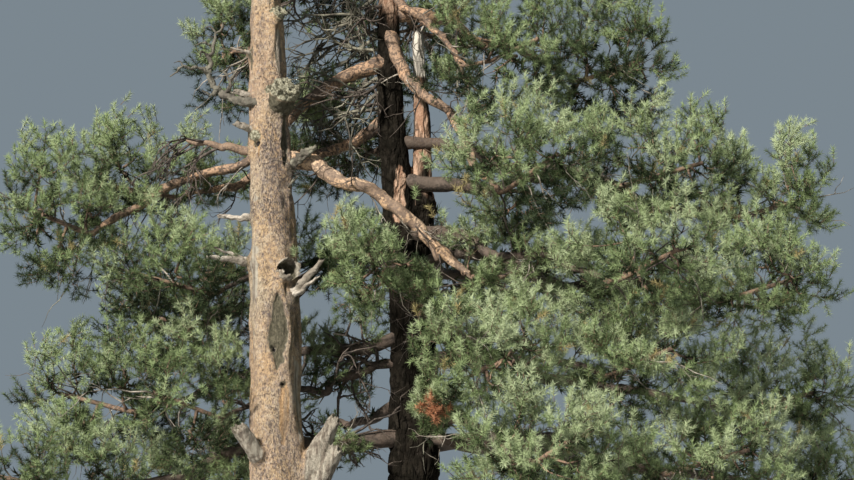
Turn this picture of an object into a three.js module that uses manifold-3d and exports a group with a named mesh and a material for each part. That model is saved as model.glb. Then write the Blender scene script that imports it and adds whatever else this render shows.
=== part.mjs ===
// An old pine tree with two stems that rise from one butt. The near stem is half dead and
// carries broken stubs. The far stem forks and carries most of the crown, whose masses of
// needles hang on long crooked boughs. Millimetres, +Z up, origin at the centre of the flat
// cut at ground level. +X is to the right and -Y is towards the viewer.
import * as THREE from "three";
import { mergeVertices } from "three/addons/utils/BufferGeometryUtils.js";
import Module from "manifold-3d";

const wasm = await Module();
wasm.setup();

const METRE = 1000; // the sizes below are in metres, and the solids in millimetres
const GAP = 0.0005; // clear space between neighbouring solids
const CLEAR = 0.004; // clear space between needles and the limbs they pass

// Both stems: points up the middle of each as x, y, height, radius.
const STEMS = {
  near: [
    [-0.16, -0.1, 0.7, 0.35],
    [-0.36, -0.27, 2.2, 0.315],
    [-0.56, -0.4, 3.8, 0.288],
    [-0.68, -0.45, 5.3, 0.272],
    [-0.745, -0.45, 7.0, 0.245],
    [-0.79, -0.45, 8.6, 0.21],
    [-0.87, -0.44, 10.2, 0.165],
    [-0.9, -0.43, 11.3, 0.11],
  ],
  far: [
    [0.16, 0.1, 0.7, 0.37],
    [0.36, 0.27, 2.2, 0.335],
    [0.54, 0.4, 3.8, 0.295],
    [0.64, 0.45, 5.3, 0.255],
    [0.62, 0.45, 7.2, 0.225],
    [0.45, 0.42, 8.6, 0.15],
    [0.38, 0.42, 10.2, 0.12],
    [0.42, 0.45, 12.7, 0.05],
  ],
};
// The far stem's second leader, which is broken off at the top.
const BROKEN_LEADER = [
  [0.62, 0.45, 6.9, 0.17],
  [0.72, 0.47, 7.7, 0.14],
  [0.78, 0.5, 8.9, 0.105],
  [0.74, 0.5, 9.75, 0.07],
];

// The butt, from the ground to the crotch between the stems.
const BUTT_HEIGHT = 1.25;
const BUTT_RADIUS = 0.47;
const FLARE = 0.27; // how far the root flare stands out at the ground
const FLARE_HEIGHT = 0.2; // height over which the flare falls to a third
const ROOT_LOBES = 5;
const LOBE_DEPTH = 0.11;
const BUTT_LONG = 1.14; // the butt is wider along the line through both stems
const BUTT_TOP = 0.72; // share of the radius that is left at the crotch
const BUTT_BEARING = 32;

// Dead stubs on the near stem: height, bearing, length, rise, radius at foot and tip.
const STUBS = [
  [9.22, -58, 0.36, 0.06, 0.115, 0.1],
  [8.8, -152, 0.4, 0.06, 0.045, 0.03],
  [8.42, -22, 0.5, 0.24, 0.055, 0.028],
  [7.92, 180, 0.56, 0.03, 0.04, 0.028],
  [7.46, -172, 0.68, 0.05, 0.06, 0.022],
  [7.12, -12, 0.54, 0.27, 0.065, 0.035],
  [5.42, -132, 0.56, 0.34, 0.1, 0.07],
  [5.22, -8, 0.74, 0.62, 0.14, 0.065],
  [8.62, 178, 0.86, 0.12, 0.06, 0.022],
];
// The twisted dead limb high on the near stem's left: reach to the left, height, radius.
const DEAD_LIMB = [
  [0.05, 9.02, 0.05],
  [0.42, 9.08, 0.042],
  [0.6, 9.3, 0.034],
  [0.66, 9.5, 0.028],
  [0.64, 9.72, 0.018],
  [0.6, 9.95, 0.01],
];
const DEAD_FORK = [
  [0.63, 9.44, 0.026],
  [0.85, 9.5, 0.02],
  [1.06, 9.4, 0.01],
];
// The hollow stub and the long open scar on the near stem's front.
const HOLLOW = { height: 7.38, bearing: -62, length: 0.35, radius: 0.105, bore: 0.07 };
const SCAR = { height: 6.78, bearing: -86, tall: 0.42, wide: 0.09, deep: 0.07 };

// Every mass of needles, with the bough that carries it: name, whether a bough or the mass's
// own stem reaches from the trunk, the stem it leaves, height there, bearing in degrees from
// +X towards +Y, reach to the mass's middle, rise of the middle, arch of the bough, radius of
// the bough's foot, and the mass's half sizes along the bearing, across it and upwards.
const MASSES = [
  ["left_upper_outer", "bough", "far", 9.8, -176, 3.35, -1.65, -0.05, 0.085, 0.7, 0.95, 0.93],
  ["left_upper_inner", "bough", "far", 9.2, 170, 2.7, -0.6, -0.1, 0.07, 0.92, 0.9, 0.8],
  ["left_middle", "bough", "far", 7.75, -171, 2.35, -0.3, 0.15, 0.06, 0.86, 0.88, 0.68],
  ["left_lower_outer", "bough", "far", 6.9, 179, 3.2, -0.6, 0.1, 0.075, 0.84, 1.0, 0.8],
  ["left_lower_inner", "bough", "far", 6.6, -166, 2.3, -0.4, 0.05, 0.06, 0.76, 0.82, 0.9],
  ["left_bottom", "bough", "far", 5.9, -164, 3.75, -0.6, 0.1, 0.1, 1.05, 1.0, 0.64],
  ["right_upper_outer", "bough", "far", 10.3, 4, 2.3, -0.45, 0.1, 0.07, 0.74, 1.0, 0.92],
  ["right_inner_high", "bough", "far", 10.1, -54, 2.35, -1.85, -0.15, 0.075, 0.92, 0.92, 0.72],
  ["right_middle", "bough", "far", 8.9, -15, 2.8, -0.4, 0.05, 0.07, 0.88, 0.95, 0.72],
  ["right_outer", "bough", "far", 8.5, 3, 3.85, -0.15, 0.15, 0.08, 0.7, 1.05, 0.84],
  ["right_centre", "bough", "far", 7.9, -48, 3.4, -0.7, 0.1, 0.075, 0.92, 0.95, 0.7],
  ["right_inner", "bough", "near", 8.6, -4, 2.4, -1.15, 0.18, 0.085, 0.7, 0.78, 0.72],
  ["right_outer_low", "bough", "far", 7.6, -21, 3.7, -0.4, 0.1, 0.07, 0.78, 0.9, 0.64],
  ["right_lower_middle", "bough", "far", 6.95, -45, 3.05, -0.6, 0.1, 0.075, 0.94, 0.95, 0.68],
  ["right_lower_outer", "bough", "far", 6.6, -9, 3.6, -0.4, 0.1, 0.085, 0.88, 1.05, 0.7],
  ["right_bottom_middle", "bough", "far", 5.9, -31, 3.25, -0.45, 0.1, 0.085, 0.96, 1.0, 0.68],
  ["right_bottom_outer", "bough", "far", 5.75, 3, 4.2, -0.3, 0.1, 0.09, 0.76, 1.05, 0.7],
  ["crown_right", "bough", "far", 11.3, 3, 1.45, 0.35, 0.05, 0.05, 1.0, 1.0, 0.92],
  ["back_left", "bough", "far", 7.9, 140, 3.2, -0.4, 0.1, 0.065, 0.95, 0.92, 0.76],
  ["back_low_left", "bough", "far", 6.3, 136, 2.95, -0.6, 0.1, 0.07, 1.0, 0.95, 0.72],
  ["back_middle", "bough", "far", 8.2, 80, 2.5, -0.3, 0.1, 0.065, 0.9, 1.0, 0.76],
  ["back_right", "bough", "far", 7.7, 39, 3.1, -0.1, 0.1, 0.07, 0.95, 0.95, 0.78],
  ["back_low_right", "bough", "far", 6.1, 52, 3.0, -0.4, 0.1, 0.075, 1.0, 1.05, 0.72],
  ["centre_front", "own", "far", 7.6, -101, 1.6, -0.25, 0.1, 0.05, 0.7, 0.86, 0.64],
  ["centre_back", "own", "far", 8.7, 117, 1.45, 0.6, 0.0, 0.05, 0.82, 0.78, 0.76],
  ["right_upper_inner", "own", "far", 10.6, -38, 1.5, -0.9, 0.0, 0.05, 0.84, 0.88, 0.82],
  ["right_lower_inner", "own", "far", 7.1, -69, 2.5, -0.75, 0.1, 0.06, 0.92, 0.9, 0.7],
  ["right_bottom_inner", "own", "far", 6.2, -64, 2.85, -0.8, 0.1, 0.06, 0.96, 0.98, 0.68],
  ["left_top", "own", "near", 9.6, 112, 1.05, 0.4, 0.0, 0.045, 0.62, 0.55, 0.85],
  ["crown_left", "own", "far", 10.7, 140, 1.25, 0.4, 0.0, 0.05, 0.9, 0.9, 0.86],
  ["crown_front", "own", "far", 10.8, -62, 1.4, 0.35, 0.0, 0.05, 0.9, 0.9, 0.84],
  ["crown_back", "own", "far", 10.6, 77, 1.6, 0.0, 0.0, 0.05, 0.92, 0.96, 0.88],
  ["near_top", "top", "near", 11.3, 180, 0.05, 0.4, 0.0, 0.06, 1.0, 1.0, 0.98],
  ["far_top", "top", "far", 12.7, 0, 0.05, 0.4, 0.0, 0.04, 1.02, 1.02, 1.25],
];

const CROOK = 0.035; // how far a bough wanders from its line, as a share of its length
const ENTRY = 0.55; // a bough ends this share of the way back from the mass's middle
const BOUGH_TIP = 0.42; // a bough's tip radius as a share of its foot's
const GOLDEN_ANGLE = 2.39996;
const SPRAYS = 17; // sprays in a mass of one metre's half size
const SPRAYS_PER_TWIG = 4;
const TWIG_REACH = 0.38; // a twig's spray starts at this share of the way to the space's skin
const TWIG_FOOT = 0.022;
const SPRAY_LONGEST = 0.9;
const SPRAY_SHORTEST = 0.24;
const SPRAY_CORE = 0.06; // radius of a spray's core, as a share of the spray's length
const SPRAY_NECK = 0.18; // how far from its root a side spray's core starts, likewise
const SPRAY_WIDE = 0.36; // how far a spray's needles spread, likewise

const UP = new THREE.Vector3(0, 0, 1);

// A seeded source of numbers from 0 to 1.
function seeded(seed) {
  let state = seed;
  return () => {
    state = (state + 0x6d2b79f5) | 0;
    let t = Math.imul(state ^ (state >>> 15), 1 | state);
    t = (t + Math.imul(t ^ (t >>> 7), 61 | t)) ^ t;
    return ((t ^ (t >>> 14)) >>> 0) / 4294967296;
  };
}

function towards(bearing) {
  const angle = THREE.MathUtils.degToRad(bearing);
  return new THREE.Vector3(Math.cos(angle), Math.sin(angle), 0);
}

// A smooth line through points, with a radius at each.
function limbLine(points) {
  const places = points.map(([x, y, z]) => new THREE.Vector3(x, y, z));
  const curve = new THREE.CatmullRomCurve3(places, false, "catmullrom", 0.5);
  const radii = points.map((point) => point[3]);
  const radiusAt = (t) => {
    const along = t * (radii.length - 1);
    const first = Math.min(Math.floor(along), radii.length - 2);
    return THREE.MathUtils.lerp(radii[first], radii[first + 1], along - first);
  };
  return { curve, radiusAt };
}

// The place on a line that rises all the way, at a given height.
function atHeight(line, height) {
  let low = 0;
  let high = 1;
  for (let i = 0; i < 30; i++) {
    const middle = (low + high) / 2;
    if (line.curve.getPoint(middle).z < height) low = middle;
    else high = middle;
  }
  return { point: line.curve.getPoint(low), radius: line.radiusAt(low) };
}

// A closed geometry as a solid. Triangles that have shrunk to a line are left out.
function solidOf(geometry) {
  geometry.deleteAttribute("normal");
  geometry.deleteAttribute("uv");
  geometry.scale(METRE, METRE, METRE);
  const merged = mergeVertices(geometry, 1e-3);
  const corners = merged.index.array;
  const kept = [];
  for (let i = 0; i < corners.length; i += 3) {
    const [a, b, c] = corners.slice(i, i + 3);
    if (a !== b && b !== c && c !== a) kept.push(a, b, c);
  }
  return new wasm.Manifold(
    new wasm.Mesh({
      numProp: 3,
      vertProperties: merged.attributes.position.array,
      triVerts: new Uint32Array(kept),
    }),
  );
}

// A closed round limb: a cylinder whose rings are laid along the line. grow widens it.
function limbSolid(line, sides, steps, grow = 0) {
  const geometry = new THREE.CylinderGeometry(1, 1, 1, sides, steps);
  const frames = [];
  let side = new THREE.Vector3(1, 0.3, 0.2);
  for (let i = 0; i <= steps; i++) {
    const t = i / steps;
    const tangent = line.curve.getTangent(t);
    side = side.clone().addScaledVector(tangent, -side.dot(tangent)).normalize();
    const other = side.clone().cross(tangent);
    const point = line.curve.getPoint(t);
    if (i === 0) point.addScaledVector(tangent, -grow);
    if (i === steps) point.addScaledVector(tangent, grow);
    frames.push({ point, side, other, radius: line.radiusAt(t) + grow });
  }
  const position = geometry.attributes.position;
  for (let i = 0; i < position.count; i++) {
    const frame = frames[Math.round((position.getY(i) + 0.5) * steps)];
    const place = frame.point
      .clone()
      .addScaledVector(frame.side, position.getX(i) * frame.radius)
      .addScaledVector(frame.other, position.getZ(i) * frame.radius);
    position.setXYZ(i, place.x, place.y, place.z);
  }
  return solidOf(geometry);
}

// The butt: a column with a lobed root flare, narrowed at the crotch. grow widens it.
function buttSolid(grow = 0) {
  const steps = 6;
  const geometry = new THREE.CylinderGeometry(1, 1, 1, 20, steps);
  const long = towards(BUTT_BEARING);
  const across = towards(BUTT_BEARING + 90);
  const position = geometry.attributes.position;
  for (let i = 0; i < position.count; i++) {
    const share = position.getY(i) + 0.5;
    const height = share * share * BUTT_HEIGHT;
    const angle = Math.atan2(-position.getZ(i), position.getX(i));
    const flare = Math.exp(-height / FLARE_HEIGHT);
    const lobe = 1 + LOBE_DEPTH * flare * Math.cos(ROOT_LOBES * angle + 0.6);
    const shoulder = 1 - (1 - BUTT_TOP) * share ** 8;
    const radius = ((BUTT_RADIUS + FLARE * flare) * lobe * shoulder + grow) *
      Math.hypot(position.getX(i), position.getZ(i));
    const place = new THREE.Vector3()
      .addScaledVector(long, Math.cos(angle) * radius * BUTT_LONG)
      .addScaledVector(across, (Math.sin(angle) * radius) / BUTT_LONG);
    position.setXYZ(i, place.x, place.y, height + (share > 0.999 ? grow : 0));
  }
  return solidOf(geometry);
}

// The largest of a solid's separate bodies, with any sealed hollow filled.
function largest(solid) {
  return solid
    .decompose()
    .filter((body) => body.volume() > 0)
    .reduce((best, body) => (body.volume() > best.volume() ? body : best));
}

const stems = Object.fromEntries(
  Object.entries(STEMS).map(([name, points]) => [name, limbLine(points)]),
);
const brokenLeader = limbLine(BROKEN_LEADER);

// A limb that leaves a stem: from inside the stem outwards, with its rise at the tip.
function stubLine(height, bearing, length, rise, foot, tip) {
  const start = atHeight(stems.near, height).point;
  const out = towards(bearing);
  return limbLine(
    [0, 0.5, 1].map((t) => {
      const place = start
        .clone()
        .addScaledVector(out, length * t)
        .addScaledVector(UP, rise * t * t);
      return [place.x, place.y, place.z, THREE.MathUtils.lerp(foot, tip, t)];
    }),
  );
}

function deadLine(points) {
  const middle = atHeight(stems.near, points[0][1]).point;
  return limbLine(
    points.map(([left, height, radius], i) => [
      middle.x - left,
      middle.y - 0.06 * i,
      height,
      radius,
    ]),
  );
}

// A mass's space: its middle, its own axes and half sizes, and how its stem reaches it.
function massSpace(row, index) {
  const [name, kind, stem, height, bearing, reach, rise, arch, foot, along, across, tall] = row;
  const root = atHeight(stems[stem], height).point;
  const out = kind === "top" ? UP.clone() : towards(bearing);
  const middle = root
    .clone()
    .addScaledVector(towards(bearing), reach)
    .addScaledVector(UP, rise);
  const axes = [towards(bearing), towards(bearing + 90), UP];
  const halves = [along, across, tall];
  return { name, kind, stem, root, out, middle, axes, halves, arch, foot, index };
}

// How far a mass's space reaches from its middle along a unit direction, as its shadow does.
function support(space, direction) {
  return Math.hypot(...space.axes.map((axis, i) => axis.dot(direction) * space.halves[i]));
}

// The planes that part a mass's space from each neighbour whose space would meet it.
function addWalls(spaces) {
  for (const space of spaces) {
    space.walls = [];
    for (const other of spaces) {
      if (other === space) continue;
      const normal = other.middle.clone().sub(space.middle);
      const apart = normal.length();
      normal.normalize();
      const mine = support(space, normal);
      const theirs = support(other, normal);
      if (mine + theirs < apart) continue;
      const share = (apart * mine) / (mine + theirs);
      space.walls.push({ normal, limit: share - 0.01 });
    }
  }
}

function isInside(space, point) {
  const from = point.clone().sub(space.middle);
  const shares = space.axes.map((axis, i) => from.dot(axis) / space.halves[i]);
  return Math.hypot(...shares) <= 1 && space.walls.every((wall) => from.dot(wall.normal) < wall.limit);
}

// A bough's line, from the middle of its stem to where it enters the mass.
function boughLine(space) {
  const tip = space.middle
    .clone()
    .addScaledVector(space.axes[0], -ENTRY * space.halves[0])
    .addScaledVector(UP, -0.2 * space.halves[2]);
  const length = tip.distanceTo(space.root);
  const points = [0, 1, 2, 3, 4].map((k) => {
    const t = k / 4;
    const bow = Math.sin(Math.PI * t);
    const free = k === 0 || k === 4 ? 0 : CROOK * length;
    const place = space.root
      .clone()
      .lerp(tip, t)
      .addScaledVector(UP, space.arch * bow + free * Math.sin(3.1 * space.index + 2.3 * k))
      .addScaledVector(space.axes[1], free * Math.sin(2.4 * space.index + 1.7 * k));
    return [place.x, place.y, place.z, space.foot * THREE.MathUtils.lerp(1, BOUGH_TIP, t)];
  });
  return limbLine(points);
}

// The line of a mass's own stem, on from its bough's tip, or all the way from the trunk.
function massStemLine(space) {
  const far = space.middle.clone().addScaledVector(space.out, 0.5 * space.halves[space.kind === "top" ? 2 : 0]);
  const tipRadius = TWIG_FOOT;
  if (space.kind === "own") {
    const line = boughLine(space);
    const count = 4;
    const points = Array.from({ length: count + 1 }, (_, k) => {
      const place = line.curve.getPoint(k / count);
      return [place.x, place.y, place.z, line.radiusAt(k / count)];
    });
    return limbLine([...points, [far.x, far.y, far.z, tipRadius]]);
  }
  const from = space.kind === "bough" ? boughLine(space) : stems[space.stem];
  const end = from.curve.getPoint(1);
  const tangent = from.curve.getTangent(1);
  const start = end.clone().addScaledVector(tangent, GAP);
  const lead = end.clone().addScaledVector(tangent, 0.12);
  const radius = from.radiusAt(1);
  const points = [start, lead, lead.clone().lerp(far, 0.5), far];
  return limbLine(
    points.map((place, k) => [
      place.x,
      place.y,
      place.z,
      THREE.MathUtils.lerp(radius, tipRadius, (k / 3) ** 0.7),
    ]),
  );
}

// A three-sided shoot that ends in a spray: a slim pointed core with three long needles that
// stand out of it and lean forward. The core starts a given way along the shoot.
function shoot(start, heading, footRadius, coreAt, length, turn) {
  const across = new THREE.Vector3().crossVectors(heading, UP).normalize();
  const over = new THREE.Vector3().crossVectors(across, heading);
  const geometry = new THREE.CylinderGeometry(1, 1, 1, 6, 2);
  const position = geometry.attributes.position;
  const points = [];
  for (let i = 0; i < position.count; i++) {
    const step = Math.round(2 * (position.getY(i) + 0.5));
    const centre = Math.hypot(position.getX(i), position.getZ(i)) < 0.5;
    const sixth = Math.round(Math.atan2(-position.getZ(i), position.getX(i)) / (Math.PI / 3) + 6) % 6;
    const isNeedle = step === 2 && sixth % 2 === 1;
    const corner = isNeedle ? sixth : sixth - (sixth % 2);
    const angle = turn + (corner * Math.PI) / 3;
    let radius = step === 0 ? footRadius : SPRAY_CORE * length;
    let ahead = step === 0 ? 0 : coreAt;
    if (isNeedle) {
      radius = SPRAY_WIDE * length;
      ahead += 0.7 * length;
    }
    if (centre) {
      radius = 0;
      ahead += step === 2 ? length : 0;
    }
    const place = start
      .clone()
      .addScaledVector(heading, ahead)
      .addScaledVector(across, Math.cos(angle) * radius)
      .addScaledVector(over, -Math.sin(angle) * radius);
    position.setXYZ(i, place.x, place.y, place.z);
    if (step === 2) points.push(place);
  }
  return { solid: solidOf(geometry), points };
}

// The shoot with the longest spray that fits in the space and clears the limbs, or null.
function fittedShoot(space, start, goal, isTwig, obstacles, turn) {
  const heading = goal.clone().sub(start).normalize();
  const far = start.distanceTo(goal);
  const longest = Math.min(SPRAY_LONGEST, isTwig ? (1 - TWIG_REACH) * far : far / (1 + SPRAY_NECK));
  for (let length = longest; length >= SPRAY_SHORTEST; length *= 0.92) {
    const coreAt = isTwig ? TWIG_REACH * far : SPRAY_NECK * length;
    const made = shoot(start, heading, isTwig ? TWIG_FOOT : 0, coreAt, length, turn);
    const fits = made.points.every((point) => isInside(space, point));
    if (fits && made.solid.intersect(obstacles).isEmpty()) {
      return { solid: made.solid, leave: start, end: start.clone().addScaledVector(heading, coreAt), used: 0 };
    }
  }
  return null;
}

// Points spread evenly over the skin of a mass's space, from its top to its underside, drawn
// in to the walls where a neighbour takes part of it.
function skinPoints(space, count, random) {
  const turn = random() * Math.PI * 2;
  return Array.from({ length: count }, (_, k) => {
    const level = 1 - (2 * k + 1) / count;
    const angle = turn + k * GOLDEN_ANGLE + 0.3 * (random() - 0.5);
    const flat = Math.sqrt(1 - level * level);
    const shares = [flat * Math.cos(angle), flat * Math.sin(angle), level];
    const out = new THREE.Vector3();
    space.axes.forEach((axis, i) => out.addScaledVector(axis, shares[i] * space.halves[i]));
    const rooms = space.walls.map((wall) => wall.limit / Math.max(out.dot(wall.normal), 1e-6));
    return space.middle.clone().addScaledVector(out, Math.min(1, ...rooms));
  });
}

// Straight pieces in the stem of a mass.
function stemSteps(space) {
  return space.kind === "own" ? 4 : 2;
}

// One mass: a stem, a few twigs from it, and from each twig the sprays that reach out to the
// nearest points of the space's skin.
function massSolid(space, obstacles, cuts) {
  const random = seeded(101 + space.index);
  const stem = massStemLine(space);
  const count = Math.round(SPRAYS * Math.cbrt(space.halves[0] * space.halves[1] * space.halves[2]));
  const goals = skinPoints(space, count, random);
  const pieces = [limbSolid(stem, 3, stemSteps(space))];
  const addShoot = (start, goal, isTwig) => {
    const made = fittedShoot(space, start, goal, isTwig, obstacles, random() * Math.PI);
    if (made !== null) pieces.push(made.solid);
    return made;
  };
  const twigs = [{ leave: stem.curve.getPoint(0.8), end: stem.curve.getPoint(1), used: 0 }];
  goals.forEach((goal, k) => {
    if (k % SPRAYS_PER_TWIG !== 1) return;
    const along = goal.clone().sub(space.middle).dot(space.out) / space.halves[0];
    const share = space.kind === "own" ? 0.8 + 0.12 * along : 0.5 + 0.25 * along;
    const twig = addShoot(stem.curve.getPoint(share), goal, true);
    if (twig !== null) twigs.push(twig);
  });
  goals.forEach((goal, k) => {
    if (k % SPRAYS_PER_TWIG === 1) return;
    const twig = twigs.reduce((best, each) =>
      each.end.distanceTo(goal) < best.end.distanceTo(goal) ? each : best,
    );
    const root = twig.leave.clone().lerp(twig.end, 0.85 - 0.17 * twig.used);
    if (addShoot(root, goal, false) !== null) twig.used += 1;
  });
  let whole = wasm.Manifold.union(pieces);
  for (const cut of cuts) whole = whole.subtract(cut);
  return largest(whole);
}

const MATERIALS = {
  old_bark: new THREE.MeshStandardMaterial({ color: 0x6f5f52, roughness: 0.95, metalness: 0 }),
  red_bark: new THREE.MeshStandardMaterial({ color: 0xbd8d66, roughness: 0.85, metalness: 0 }),
  bough_bark: new THREE.MeshStandardMaterial({ color: 0x8a6a50, roughness: 0.88, metalness: 0 }),
  needles: new THREE.MeshStandardMaterial({ color: 0x5f7a4a, roughness: 0.7, metalness: 0 }),
};

const pine = new THREE.Group();

function addNode(name, solid, material) {
  const mesh = solid.getMesh();
  const corners = new Float32Array(mesh.numVert * 3);
  for (let i = 0; i < mesh.numVert; i++) {
    corners.set(mesh.vertProperties.subarray(i * mesh.numProp, i * mesh.numProp + 3), i * 3);
  }
  const geometry = new THREE.BufferGeometry()
    .setAttribute("position", new THREE.BufferAttribute(corners, 3))
    .setIndex(new THREE.BufferAttribute(mesh.triVerts, 1));
  const node = new THREE.Mesh(geometry, MATERIALS[material]);
  node.name = name;
  pine.add(node);
}

// The near stem with its stubs, its hollow stub and its long scar.
function nearStemSolid(grow) {
  const limbs = [
    ...STUBS.map((stub) => limbSolid(stubLine(...stub), 6, 2, grow)),
    limbSolid(deadLine(DEAD_LIMB), 4, 6, grow),
    limbSolid(deadLine(DEAD_FORK), 4, 2, grow),
    limbSolid(stubLine(HOLLOW.height, HOLLOW.bearing, HOLLOW.length, 0.05, HOLLOW.radius, HOLLOW.radius), 8, 1, grow),
  ];
  const whole = wasm.Manifold.union([limbSolid(stems.near, 12, 11, grow), ...limbs]);
  if (grow > 0) return whole;
  const mouth = atHeight(stems.near, HOLLOW.height).point
    .addScaledVector(towards(HOLLOW.bearing), HOLLOW.length * 0.8)
    .addScaledVector(UP, 0.04);
  const bore = new THREE.SphereGeometry(HOLLOW.bore, 8, 6).translate(mouth.x, mouth.y, mouth.z);
  const scarAt = atHeight(stems.near, SCAR.height);
  const face = scarAt.point.addScaledVector(towards(SCAR.bearing), scarAt.radius + 0.02);
  const scar = new THREE.SphereGeometry(1, 8, 6)
    .rotateX(Math.PI / 2)
    .scale(SCAR.wide, SCAR.deep, SCAR.tall)
    .translate(face.x, face.y, face.z);
  return whole.subtract(solidOf(bore)).subtract(solidOf(scar));
}

function farStemSolid(grow) {
  return wasm.Manifold.union([
    limbSolid(stems.far, 10, 12, grow),
    limbSolid(brokenLeader, 7, 4, grow),
  ]);
}

const buttRoom = buttSolid(GAP);
const nearRoom = nearStemSolid(GAP);
const farRoom = farStemSolid(GAP);

addNode("butt", buttSolid(), "old_bark");
addNode("near_stem", largest(nearStemSolid(0).subtract(buttRoom)), "red_bark");
addNode("far_stem", largest(farStemSolid(0).subtract(buttRoom).subtract(nearRoom)), "red_bark");

const spaces = MASSES.map(massSpace);
addWalls(spaces);

const limbs = [
  { owner: "", solid: nearRoom },
  { owner: "", solid: farRoom },
  ...spaces
    .filter((space) => space.kind === "bough")
    .map((space) => ({ owner: "", solid: limbSolid(boughLine(space), 5, 6, CLEAR) })),
  ...spaces.map((space) => ({
    owner: space.name,
    solid: limbSolid(massStemLine(space), 3, stemSteps(space), CLEAR),
  })),
];

for (const space of spaces) {
  const room = space.stem === "near" ? nearRoom : farRoom;
  if (space.kind === "bough") {
    const bough = limbSolid(boughLine(space), 5, 6).subtract(room);
    addNode("bough_" + space.name, largest(bough), "bough_bark");
  }
  const others = limbs.filter((limb) => limb.owner !== space.name).map((limb) => limb.solid);
  const obstacles = wasm.Manifold.union(others);
  const cuts = space.kind === "own" ? [room] : [];
  addNode("mass_" + space.name, massSolid(space, obstacles, cuts), "needles");
}

export default pine;
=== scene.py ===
"""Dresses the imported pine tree: bark with its relief, dead wood, twigs and needles.

The limbs and masses grow by the same rule as the solids, from the same named sizes. All
lengths are in metres, +Z is up and -Y is towards the viewer.
"""

import math
from collections import namedtuple

import bpy
import numpy as np
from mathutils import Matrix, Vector, noise


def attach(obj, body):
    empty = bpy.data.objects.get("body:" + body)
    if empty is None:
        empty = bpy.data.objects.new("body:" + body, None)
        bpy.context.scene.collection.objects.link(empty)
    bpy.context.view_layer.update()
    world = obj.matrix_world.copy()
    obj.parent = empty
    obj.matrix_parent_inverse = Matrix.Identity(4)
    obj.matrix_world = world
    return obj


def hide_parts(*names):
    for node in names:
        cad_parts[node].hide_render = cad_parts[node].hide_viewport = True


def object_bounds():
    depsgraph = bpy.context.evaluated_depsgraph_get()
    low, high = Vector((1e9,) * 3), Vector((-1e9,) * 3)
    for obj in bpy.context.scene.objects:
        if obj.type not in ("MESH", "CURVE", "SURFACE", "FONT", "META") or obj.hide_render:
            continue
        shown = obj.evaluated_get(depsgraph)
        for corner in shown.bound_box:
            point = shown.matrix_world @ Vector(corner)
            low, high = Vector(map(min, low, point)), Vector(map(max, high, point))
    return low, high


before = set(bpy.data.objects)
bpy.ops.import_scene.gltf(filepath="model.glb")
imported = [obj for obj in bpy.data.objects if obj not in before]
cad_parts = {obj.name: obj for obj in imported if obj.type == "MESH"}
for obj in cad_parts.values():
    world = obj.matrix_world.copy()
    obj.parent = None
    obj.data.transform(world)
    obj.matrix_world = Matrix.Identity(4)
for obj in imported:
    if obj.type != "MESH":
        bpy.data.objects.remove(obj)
CAD_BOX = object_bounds()

bl_info = {
    "name": "Pine Tree",
    "version": (1, 0, 0),
    "blender": (4, 5, 0),
    "location": "View3D > Sidebar > Pine Tree",
    "description": "Bark, dead wood, twigs and needles of an old two-stemmed pine",
    "category": "Object",
}

# Both stems: points up the middle of each as x, y, height, radius.
STEMS = {
    "near": [
        (-0.16, -0.1, 0.7, 0.35),
        (-0.36, -0.27, 2.2, 0.315),
        (-0.56, -0.4, 3.8, 0.288),
        (-0.68, -0.45, 5.3, 0.272),
        (-0.745, -0.45, 7.0, 0.245),
        (-0.79, -0.45, 8.6, 0.21),
        (-0.87, -0.44, 10.2, 0.165),
        (-0.9, -0.43, 11.3, 0.11),
    ],
    "far": [
        (0.16, 0.1, 0.7, 0.37),
        (0.36, 0.27, 2.2, 0.335),
        (0.54, 0.4, 3.8, 0.295),
        (0.64, 0.45, 5.3, 0.255),
        (0.62, 0.45, 7.2, 0.225),
        (0.45, 0.42, 8.6, 0.15),
        (0.38, 0.42, 10.2, 0.12),
        (0.42, 0.45, 12.7, 0.05),
    ],
}
STEM_SAMPLES = 160  # places along a stem that its bark is measured from
# The far stem's second leader, which is broken off at the top.
BROKEN_LEADER = [
    (0.62, 0.45, 6.9, 0.17),
    (0.71, 0.47, 7.7, 0.14),
    (0.73, 0.49, 8.9, 0.09),
    (0.7, 0.49, 9.75, 0.068),
    (0.68, 0.49, 10.14, 0.058),
]
# Heights between which the leader loses its bark, and between which that bark turns red.
LEADER_BARE = (9.55, 9.7)
LEADER_RED = (8.15, 8.4)
LEADER_LEDGE = 8.25  # where its red bark stands proud of the dark
FAR_RED = (9.6, 11.0)  # heights between which the far stem's bark turns red
# A red slit low in the far stem's front: x, height, half width and half height.
SLIT = {"x": 0.5, "height": 8.35, "wide": 0.07, "tall": 0.36}
# Heights between which each stem's thick plates of bark end.
FAR_PLATES_END = (7.6, 8.8)
NEAR_PLATES_END = (3.4, 5.6)

# The butt: round, flared into lobes at the ground, and longer along one bearing than across it.
BUTT_HEIGHT = 1.25
BUTT_RADIUS = 0.47
FLARE = 0.27
FLARE_HEIGHT = 0.2
ROOT_LOBES = 5
LOBE_DEPTH = 0.11
BUTT_LONG = 1.14
BUTT_TOP = 0.72  # share of the radius that is left at the crotch
BUTT_BEARING = 32

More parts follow.
